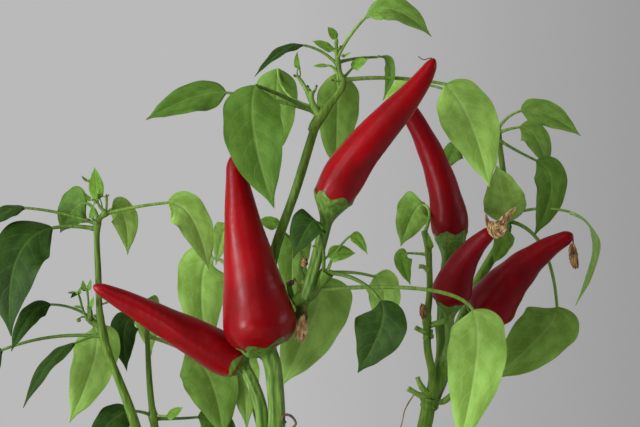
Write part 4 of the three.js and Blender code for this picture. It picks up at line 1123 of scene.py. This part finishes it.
def add_knuckle(pile, curve, radius, seed):
    """The swollen joint where a stem goes on from the end of its bough."""
    joint, way = curve(0.0), tangent(curve, 0.0)
    reach = 2.6 * radius
    add_limb(pile, bent_curve(joint - way * reach, joint, joint + way * reach),
             lambda share: radius * (0.72 + 0.55 * np.sin(math.pi * share)), [], seed, spacing=0.4, collar=0)


# Chillies

FRUIT_STATIONS = 160
FRUIT_SIDES = 60
LOBES, PLEATS = 0.04, 0.045         # all as shares of the radius
DENTS, FINE_DENTS = 0.03, 0.013
WRINKLES = 0.007
CUP_STATIONS = 26
CUP_ROOM = 0.2                      # the cup's clearance from the skin, in millimetres


def fruit_radius(row, seed):
    """A chilli's radius by share and angle: faint lobes, shallow dents, cross wrinkles and pleats
    at the shoulder."""
    dents, ripples = waves(seed, 7, 0.7, 2.2), waves(seed + 500, 5, 0.8, 2.4)
    draw = seeded_run(seed)
    turn, depth = FULL_TURN * next(draw), mix(0.6, 1, next(draw))
    steps = np.linspace(-0.05, 0.05, 7)

    def radius_at(share, angle):
        lobes = LOBES * depth * np.cos(3 * angle + turn + 0.8 * share) * (1 - share) ** 0.7
        pleats = PLEATS * np.cos(5 * angle + turn) * np.exp(-(share / 0.08) ** 2)
        dented = DENTS * dents(5 * share, 2.2 * np.sin(angle + turn)) * np.sin(math.pi * share) ** 0.5
        dented = dented + FINE_DENTS * ripples(13 * share, 2 * np.cos(angle - turn))
        patchy = np.clip(ripples(6 * share, 3 * np.cos(angle + turn)), 0, 1)
        fine = np.sin(150 * share + 2 * np.sin(2 * angle + 9 * share))
        wrinkled = WRINKLES * patchy * fine * smooth_step(0.15, 0.45, share)
        even = sum(chilli_radius(row, np.clip(share + step, 0, 1)) for step in steps) / len(steps)
        body = smooth_step(0, 0.1, share) * (1 - smooth_step(0.84, 0.92, share))
        radius = mix(chilli_radius(row, share), even, body)
        return radius * (1 + lobes + pleats + dented + wrinkled * (1 - share) ** 0.5)

    return radius_at


def add_fruit(pile, row, seed):
    """The chilli's skin from its base to its round tip."""
    even = np.linspace(0, 1, FRUIT_STATIONS)
    shares = even - 0.1 * np.sin(2 * math.pi * even)
    pile.add_tube(chilli_axis(row), shares, FRUIT_SIDES, fruit_radius(row, seed))


def add_stalk(pile, row, seed, skin):
    """The ribbed stalk, which widens into a scalloped green cup that lies against the fruit's skin."""
    axis = chilli_axis(row)
    length = length_of(axis)
    rim_height = CUP_DEPTH * length
    base = vec(row["base"])
    curve = smooth_curve([*row["stalk"], base, base + rim_height * tangent(axis, 0.0)])
    spans = len(row["stalk"]) + 1
    trial = np.linspace(0, SHOULDER, 200)
    rim = max(float(np.interp(row["calyx"], chilli_radius(row, trial), trial)) / CUP_DEPTH, 0.12)
    stalk_end, edge = (spans - 1.15) / spans, (spans - 1 + rim) / spans
    teeth = 5 + seed % 2
    wobble = waves(seed, 5, 0.7, 2)

    share = np.concatenate([np.linspace(0, stalk_end, 15 * spans)[:-1],
                            np.linspace(stalk_end, edge, CUP_STATIONS)])
    middle, forward, side, other = framed(curve, share)
    angle = ring_angles(FRUIT_SIDES)[None, :]
    cup = np.clip(share * spans - (spans - 2), 0, 1)[:, None] ** row.get("flare", CUP_FLARE)
    ribs = np.cos(teeth * angle + 0.3 + 0.25 * np.sin(2 * angle))
    low = np.exp(-share * spans * 3)[:, None]
    thick = row["thick"] * (1 + 0.15 * low + 0.06 * wobble(3 * share[:, None], np.sin(angle)))
    lean = smooth_step(0.55, 1, share / edge)[:, None] ** 6 * row["calyx"] * (0.05 + 0.15 * ribs)
    radius = mix(thick * (1 + 0.09 * ribs), row["calyx"] * (1 + 0.02 * ribs), smooth_step(0, 1, cup))
    rings = middle[:, None] + (radius * np.cos(angle))[..., None] * side[:, None] \
        + (radius * np.sin(angle))[..., None] * other[:, None] + lean[..., None] * forward[:, None]

    _, along, right, front = framed(axis, vec((0.0, 0.5)))
    height = (rings - base) @ along[0]
    from_axis = rings - base - height[..., None] * along[0]
    turn = np.arctan2(from_axis @ front[0], from_axis @ right[0])
    reach = np.linalg.norm(from_axis, axis=-1)
    wall = skin(np.clip(height / length, 0, 1), turn) + CUP_ROOM
    slack = 0.15 + 3 * (1 - smooth_step(0.6, 1, share / edge))[:, None]
    close = np.clip(reach, wall, wall + slack) / np.maximum(reach, 0.1) - 1
    rings = rings + from_axis * (smooth_step(-0.8, 0.5, height) * close)[..., None]
    inner = rings[-1] * 0.85 + 0.15 * middle[-1] - 0.1 * forward[-1]
    pile.add_rings(np.concatenate([rings, inner[None]]))


# Small parts: thin stalks, buds, dry petals and withered flowers

def add_thin_stalk(pile, row, seed):
    """A cut or drying stalk, uneven and a little swollen at both ends."""
    curve = smooth_curve(row["way"])
    uneven = waves(seed, 4, 1, 3)

    def radius_at(share, angle):
        ends = 0.25 * np.exp(-share * 7) + 0.2 * np.exp(-(1 - share) * 9)
        return mix(*row["thick"], share) * (1 + ends + 0.09 * uneven(4 * share, 2 * np.sin(angle)))

    pile.add_tube(curve, np.linspace(0, 1, max(9, int(length_of(curve) * 2.5))), 12, radius_at)


def add_bud(pile, foot, tip, radius, seed):
    """A small pointed bud with three scales."""
    turn = FULL_TURN * (seed * 0.618 % 1)

    def radius_at(share, angle):
        plump = np.sin(math.pi * (0.12 + 0.84 * share)) ** 0.8
        return radius * plump * (1 + 0.1 * np.cos(3 * angle + turn + 2 * share))

    middle = (vec(foot) + vec(tip)) / 2
    pile.add_tube(bent_curve(foot, middle, tip), np.linspace(0, 1, 12), 14, radius_at)


def add_petal(pile, curve, half, across, seed):
    """A dry petal: a thin closed strip, cupped and crumpled, with a drawn-out tip."""
    crumple = waves(seed, 6, 1.5, 6)
    share = np.linspace(0, 0.995, 20)
    middle, forward = curve(share), tangent(curve, share)
    side = unit(vec(across) - forward * (forward @ vec(across))[:, None])
    upper = np.cross(side, forward)
    v = np.linspace(-1, 1, 9)[None, :]
    s = share[:, None]
    width = half * (0.4 + 0.6 * np.sin(math.pi * (0.1 + 0.75 * s))) * (1 - s) ** 0.35
    rise = width * (0.45 * v ** 2 + 0.3 * crumple(4 * s, 1.6 * v))
    body = 0.09 * (1 - v ** 4)
    skin = sheet(middle, side, upper, width * v)
    pile.add_rings(np.concatenate([skin(rise + body), skin(rise - body)[:, -2:0:-1]], axis=1))


def add_withered_flower(pile, foot, middle, end, wide, petals, seed):
    """Shrivelled petals that close round their own middle, over a pleated dry core."""
    draw = seeded_run(seed * 977)
    foot, end = vec(foot), vec(end)
    axis = bent_curve(foot, middle, end)
    _, forward, side, other = framed(axis, vec((0.5,)))
    out = wide / 2
    pleats = waves(seed, 6, 1, 4)

    def core_radius(share, angle):
        plump = np.sin(math.pi * (0.1 + 0.8 * share))
        return 0.7 * out * plump * (1 + 0.2 * np.cos(5 * angle) + 0.2 * pleats(3 * share, np.sin(angle)))

    pile.add_tube(axis, np.linspace(0, 0.85, 16), 24, core_radius)
    for number in range(petals):
        angle = FULL_TURN * (number + 0.5 * next(draw)) / petals
        away = side[0] * math.cos(angle) + other[0] * math.sin(angle)
        spread, reach = mix(0.95, 1.3, next(draw)), mix(0.82, 1.05, next(draw))
        tip = axis(0.5) + (end - axis(0.5)) * reach + away * out * mix(0.2, 0.75, next(draw))
        curve = bent_curve(foot + away * 0.25 * out, axis(0.5) + away * out * spread, tip)
        add_petal(pile, curve, 0.75 * out, np.cross(away, forward[0]), seed * 31 + number)


# Pot and soil

ROUND_STEPS = 6                     # points on each rounded corner
LATHE_CORE = 6                      # radius of the flat middle that closes a turned body
POT_SIDES, SOIL_SIDES = 160, 200
CRUMBS = 420
GRIT_EVERY = 9                      # one crumb in so many is pale grit
CRUMB_DEEP, CRUMB_TALL = 0.8, 0.7   # a crumb's depth and height over its width


def rounded(corners, radius):
    """A profile through the corners, each rounded off as far as its neighbours leave room."""
    corners = [vec(corner) for corner in corners]
    points = [corners[0]]
    for before, corner, after in zip(corners, corners[1:], corners[2:]):
        back, on = before - corner, after - corner
        room = min(radius, np.linalg.norm(back) / 2, np.linalg.norm(on) / 2)
        arc = bent_curve(corner + unit(back) * room, corner, corner + unit(on) * room)
        points.extend(arc(np.linspace(0, 1, ROUND_STEPS)))
    points.append(corners[-1])
    return np.array(points)


def resampled(profile, spacing):
    """The same profile in steps of about equal length."""
    gone = np.concatenate([[0], np.cumsum(np.linalg.norm(np.diff(profile, axis=0), axis=1))])
    even = np.linspace(0, gone[-1], int(gone[-1] / spacing) + 1)
    return np.stack([np.interp(even, gone, profile[:, k]) for k in range(2)], -1)


def ring_angles(sides):
    return np.linspace(0, 2 * math.pi, sides + 1)[:-1]


def add_lathe(pile, profile, sides, move):
    """A turned body from a profile of radius and height; move takes each point's radius, height
    and angle and gives its own radius and height."""
    angle = ring_angles(sides)[None, :]
    radius, height = move(profile[:, :1], profile[:, 1:], angle)
    rings = np.stack(np.broadcast_arrays(radius * np.cos(angle), radius * np.sin(angle), height), -1)
    pile.add_rings(rings)


POT_SLOPE = (POT_RIM_RADIUS - RIM_STEP - POT_FOOT_RADIUS) / POT_HEIGHT


def pot_outer(z):
    return POT_FOOT_RADIUS + POT_SLOPE * z


def pot_inner(z):
    return pot_outer(z) - POT_WALL


def cut_holes(piece):
    """Cuts the drain holes through the pot's floor."""
    for azimuth in DRAIN_TURNS:
        tube = Pile()
        middle = heading(azimuth, 0) * DRAIN_CIRCLE
        up = vec((0, 0, 3 * POT_FLOOR))
        tube.add_tube(bent_curve(middle - up, middle, middle + up), np.linspace(0, 1, 3), 40,
                      lambda share, angle: DRAIN_RADIUS + 0 * share)
        mesh = bpy.data.meshes.new("hole")
        mesh.from_pydata((np.concatenate(tube.points) * MM).tolist(), [],
                         [face.tolist() for block in tube.faces for face in block])
        cutter = bpy.data.objects.new("hole", mesh)
        bpy.context.scene.collection.objects.link(cutter)
        cut = piece.modifiers.new("hole", "BOOLEAN")
        cut.object = cutter
        cut.operation = "DIFFERENCE"
        cut.solver = "MANIFOLD"
        graph = bpy.context.evaluated_depsgraph_get()
        piece.data = bpy.data.meshes.new_from_object(piece.evaluated_get(graph))
        piece.modifiers.clear()
        bpy.data.objects.remove(cutter)


def make_pot():
    band = POT_HEIGHT - RIM_BAND
    corners = [(LATHE_CORE, 0), (POT_FOOT_RADIUS, 0), (pot_outer(band), band),
               (pot_outer(band) + RIM_STEP, band + 1.5), (POT_RIM_RADIUS, POT_HEIGHT),
               (pot_inner(POT_HEIGHT), POT_HEIGHT), (pot_inner(POT_FLOOR), POT_FLOOR),
               (LATHE_CORE, POT_FLOOR)]
    wobble = waves(5, 5, 1, 3)

    def turned(radius, height, angle):
        lines = 0.11 * np.sin(height * 2.1 + 0.5 * np.sin(angle)) * smooth_step(30, 45, radius)
        out = 0.35 * wobble(height / 60, np.sin(angle)) * smooth_step(30, 45, radius)
        return radius + lines + out, height + 0 * angle

    pile = Pile()
    add_lathe(pile, resampled(rounded(corners, 2.4), 1.3), POT_SIDES, turned)
    cut_holes(make_piece("clay_pot", pile, CLAY, ["pot"], sharp=50))


def add_lump(pile, centre, size, seed):
    """A small uneven crumb."""
    bumps = waves(seed, 4, 1, 2.6)
    height = np.linspace(-0.97, 0.97, 6)[:, None]
    angle = ring_angles(8)[None, :] + FULL_TURN * (seed * 0.618 % 1)
    radius = size * (1 + 0.3 * bumps(2 * height, 2 * np.sin(angle)))
    ring = radius * np.sqrt(1 - height ** 2)
    x, y = ring * np.cos(angle), ring * np.sin(angle) * CRUMB_DEEP
    rings = np.stack([x, y, radius * height * CRUMB_TALL], -1)
    pile.add_rings(vec(centre) + rings)


def make_soil():
    """A crumbly bed, lower at the pot's wall, with crumbs and pale grit on it."""
    reach = pot_inner(SOIL_TOP) - GAP
    foot = pot_inner(POT_FLOOR) - GAP
    corners = [(LATHE_CORE, POT_FLOOR + GAP), (foot, POT_FLOOR + GAP), (reach, SOIL_TOP - 1.2),
               (LATHE_CORE - 1, SOIL_TOP - 0.4)]
    broad, fine = waves(71, 6, 0.06, 0.14), waves(83, 12, 0.5, 1.6)

    def settled(radius, height, angle):
        top = smooth_step(SOIL_TOP - 6, SOIL_TOP - 1.5, height)
        x, y = radius * np.cos(angle), radius * np.sin(angle)
        rough = 0.55 * broad(x, y) + 0.5 * fine(x, y) * (radius > 9)
        rough = rough - 1.2 * smooth_step(0.93, 1, radius / reach)
        return radius + 0 * angle, height + top * rough - 0.8 * top

    bed = Pile()
    add_lathe(bed, resampled(rounded(corners, 1.5), 1.2), SOIL_SIDES, settled)
    grit = Pile()
    draw = seeded_run(97)
    for number in range(CRUMBS):
        radius = reach * 0.95 * math.sqrt(mix(0.03, 1, next(draw)))
        azimuth = 360 * next(draw)
        size = mix(0.5, 1.9, next(draw) ** 2)
        x, y, _ = heading(azimuth, 0) * radius
        centre = (x, y, SOIL_TOP - 1.1 + 0.3 * size + 0.5 * float(broad(x, y)))
        add_lump(grit if number % GRIT_EVERY == 0 else bed, centre, size, number + 1)
    make_piece("soil_bed", bed, EARTH, ["soil"], sharp=60)
    make_piece("soil_grit", grit, GRIT, ["soil"])


# The plant's pieces

grow_plant()
MASSES = SET_MASSES + GROWN_MASSES
MASS_NAMES = [mass["name"] for mass in MASSES]
STARTS = [row["route"][0] for row in BOUGHS] + [row["stalk"][0] for row in CHILLIES]


def make_trunk():
    trunk = Pile()
    curve = smooth_curve(TRUNK["route"])
    add_limb(trunk, curve, trunk_radius, forks_of(curve, STARTS), 3, sides=40, collar=0, ridge=0.035)
    make_piece("trunk_bark", trunk, BARK, ["trunk"], sharp=60)


def make_boughs():
    for number, row in enumerate(BOUGHS):
        bark = Pile()
        curve = smooth_curve(row["route"])
        forks = forks_of(curve, STARTS) + [1.0]
        add_limb(bark, curve, taper(row["thick"]), forks, SEED_OF["bough"] + number)
        make_piece(row["name"] + "_bark", bark, BOUGH, [row["name"]], sharp=60)


def make_chillies():
    for number, row in enumerate(CHILLIES, 1):
        fruit, stalk = Pile(), Pile()
        seed = SEED_OF["fruit"] + number
        add_fruit(fruit, row, seed)
        add_stalk(stalk, row, SEED_OF["stalk"] + number, fruit_radius(row, seed))
        # The chillies behind take the skin whose darker reds are painted shade.
        skin = DULL_SHADED_FRUIT if number in DULL_SHADED_ONES else FRUIT
        make_piece(f"chilli_{number}_skin", fruit, skin, [f"chilli_{number}"])
        make_piece(f"stalk_{number}_cup", stalk, GREEN_STALK, [f"stalk_{number}"], sharp=60)


def fill_masses(piles):
    """Adds every mass's stem, twigs and leaves to the piles."""
    for order, mass in enumerate(MASSES):
        roots = [shape["petiole"](0.0) for shape in mass["shapes"]]
        add_limb(piles["twigs"], mass["curve"], taper(mass["thick"]), [0.0] + forks_of(mass["curve"], roots),
                 SEED_OF["stem"] + order, sides=16, ridge=0.07, collar=0)
        add_knuckle(piles["twigs"], mass["curve"], mass["thick"][0], SEED_OF["knuckle"] + order)
        for twig in mass["twigs"]:
            add_limb(piles["twigs"], twig, taper(TWIG_THICK), forks_of(twig, roots),
                     SEED_OF["twig"] + order, sides=12)
        for number, shape in enumerate(mass["shapes"]):
            add_whole_leaf(piles, shape, 100 * order + number + 1)


def fill_small_parts(piles):
    """Adds thin stalks, dry strands, leaflets, buds and withered flowers to the piles."""
    for number, row in enumerate(THIN_STALKS, 1):
        pile = piles["pale_stalks" if row.get("pale") else "stalks"]
        add_thin_stalk(pile, row, SEED_OF["thin_stalk"] + number)
    for number, row in enumerate(DRY_STRANDS, 1):
        pile = piles["dark" if row.get("dark") else "brown"]
        add_thin_stalk(pile, row, SEED_OF["strand"] + number)
    for number, (root, *blade) in enumerate(LEAFLETS, 1):
        shape = leaf_shape(lambda at: vec(root), leaf(0, *blade))
        add_whole_leaf(piles, shape, SEED_OF["leaflet"] + number)
    # Among the dark buds is one lump that is painted shade in a withered flower's hollow.
    for name, buds in (("stalks", BUDS), ("dark", DARK_BUDS_AND_HOLLOW_SHADE)):
        for number, bud in enumerate(buds, 1):
            add_bud(piles[name], *bud, number)
    for number, (*places, wide, petals, tone) in enumerate(WITHERED_FLOWERS, 1):
        add_withered_flower(piles[tone], *places, wide, petals, number)
    for number, (way, wide, across) in enumerate(DRY_PETALS, 1):
        add_petal(piles["withered"], bent_curve(*way), wide / 2, across, SEED_OF["petal"] + number)


def make_foliage():
    """One piece for each look of leaf, stalk, twig and dry part."""
    looks = {f"leaves_{tone}": (tone, skin, MASS_NAMES, 55) for tone, skin in LEAF_SKINS.items()}
    looks.update(
        leaf_stalks=("stalks", GREEN_PETIOLE, MASS_NAMES, 60),
        pale_leaf_stalks=("pale_stalks", PALE_PETIOLE, MASS_NAMES, 60),
        twigs=("twigs", GREEN_YOUNG, MASS_NAMES, 60),
        withered_petals=("withered", DRY, (), 50),
        brown_flowers=("brown", BROWN, (), 50),
        dark_buds=("dark", SCAR_AND_HOLLOW_SHADE, (), None),
    )
    piles = {pile: Pile() for pile, *_ in looks.values()}
    fill_masses(piles)
    fill_small_parts(piles)
    for name, (pile, skin, nodes, sharp) in looks.items():
        make_piece(name, piles[pile], skin, nodes, sharp=sharp, mapped=pile in LEAF_SKINS)


make_pot()
make_soil()
make_trunk()
make_boughs()
make_chillies()
make_foliage()


# Camera, floor and light

CAMERA_PLACE = (12.8, -622, 407.9)   # millimetres; it looks along +Y
SENSOR_WIDTH = 36
LENS = 95.9
FLOOR_RADIUS = 1.6
FLOOR_SIDES = 96
LIGHT_AIM = (0, 0, 0.36)
COOL = (0.95, 0.98, 1.0)
LIGHTS = [                           # name, place and size in metres, watts and colour
    ("key", (-1.4, -0.8, 0.9), 1.5, 18, COOL),
    ("pane", (-1.3, -0.75, 0.4), 0.5, 13, COOL),
    ("low", (-0.5, -0.85, 0.1), 0.45, 1.4, (1, 1, 1)),
    ("top", (-0.2, -1.3, 1.7), 1.6, 6, (1, 1, 1)),
    ("window", (1.5, 0.1, 0.6), 0.6, 3, (0.8, 0.85, 1.0)),
]
ROOM_STEPS = [                       # axis of the view, its low and high, and the shade at both
    ("X", -0.02, 0.2, 0.0, -0.17),
    ("Y", -0.5, 0.35, 0.12, 0.49),
]
ROOM_LEAST = 0.2

scene = bpy.context.scene
scene.view_settings.view_transform = "Standard"


def make_camera():
    lens = bpy.data.cameras.new("camera")
    lens.sensor_fit = "HORIZONTAL"
    lens.sensor_width = SENSOR_WIDTH
    lens.lens = LENS
    camera = bpy.data.objects.new("camera", lens)
    camera.location = [place * MM for place in CAMERA_PLACE]
    camera.rotation_euler = (math.radians(90), 0, 0)
    scene.collection.objects.link(camera)
    scene.camera = camera


def make_floor():
    mesh = bpy.data.meshes.new("floor")
    ring = [(FLOOR_RADIUS * math.cos(turn), FLOOR_RADIUS * math.sin(turn), 0)
            for turn in ring_angles(FLOOR_SIDES)]
    mesh.from_pydata(ring, [], [list(range(FLOOR_SIDES))])
    mesh.materials.append(Tree("floor_paint", (0.62, 0.62, 0.63), 0.8).material)
    floor = bpy.data.objects.new("floor", mesh)
    scene.collection.objects.link(floor)


def make_lights():
    for name, place, size, watts, color in LIGHTS:
        data = bpy.data.lights.new(name, "AREA")
        data.shape, data.size, data.energy, data.color = "SQUARE", size, watts, color
        light = bpy.data.objects.new(name, data)
        light.location = place
        light.rotation_euler = (Vector(LIGHT_AIM) - Vector(place)).to_track_quat("-Z", "Y").to_euler()
        scene.collection.objects.link(light)


def make_world():
    """A plain pale room, lighter on the side of the key light and dimmer in front."""
    world = bpy.data.worlds.new("studio")
    world.use_nodes = True
    nodes, links = world.node_tree.nodes, world.node_tree.links
    parts = nodes.new("ShaderNodeSeparateXYZ")
    links.new(nodes.new("ShaderNodeTexCoord").outputs["Generated"], parts.inputs[0])
    total, least = nodes.new("ShaderNodeMath"), nodes.new("ShaderNodeMath")
    total.operation, least.operation = "ADD", "MAXIMUM"
    for (axis, *values), shade in zip(ROOM_STEPS, total.inputs):
        ramp = nodes.new("ShaderNodeMapRange")
        links.new(parts.outputs[axis], ramp.inputs["Value"])
        for name, value in zip(("From Min", "From Max", "To Min", "To Max"), values):
            ramp.inputs[name].default_value = value
        links.new(ramp.outputs[0], shade)
    links.new(total.outputs[0], least.inputs[0])
    least.inputs[1].default_value = ROOM_LEAST
    links.new(least.outputs[0], nodes["Background"].inputs["Color"])
    scene.world = world


make_camera()
make_floor()
make_lights()
make_world()
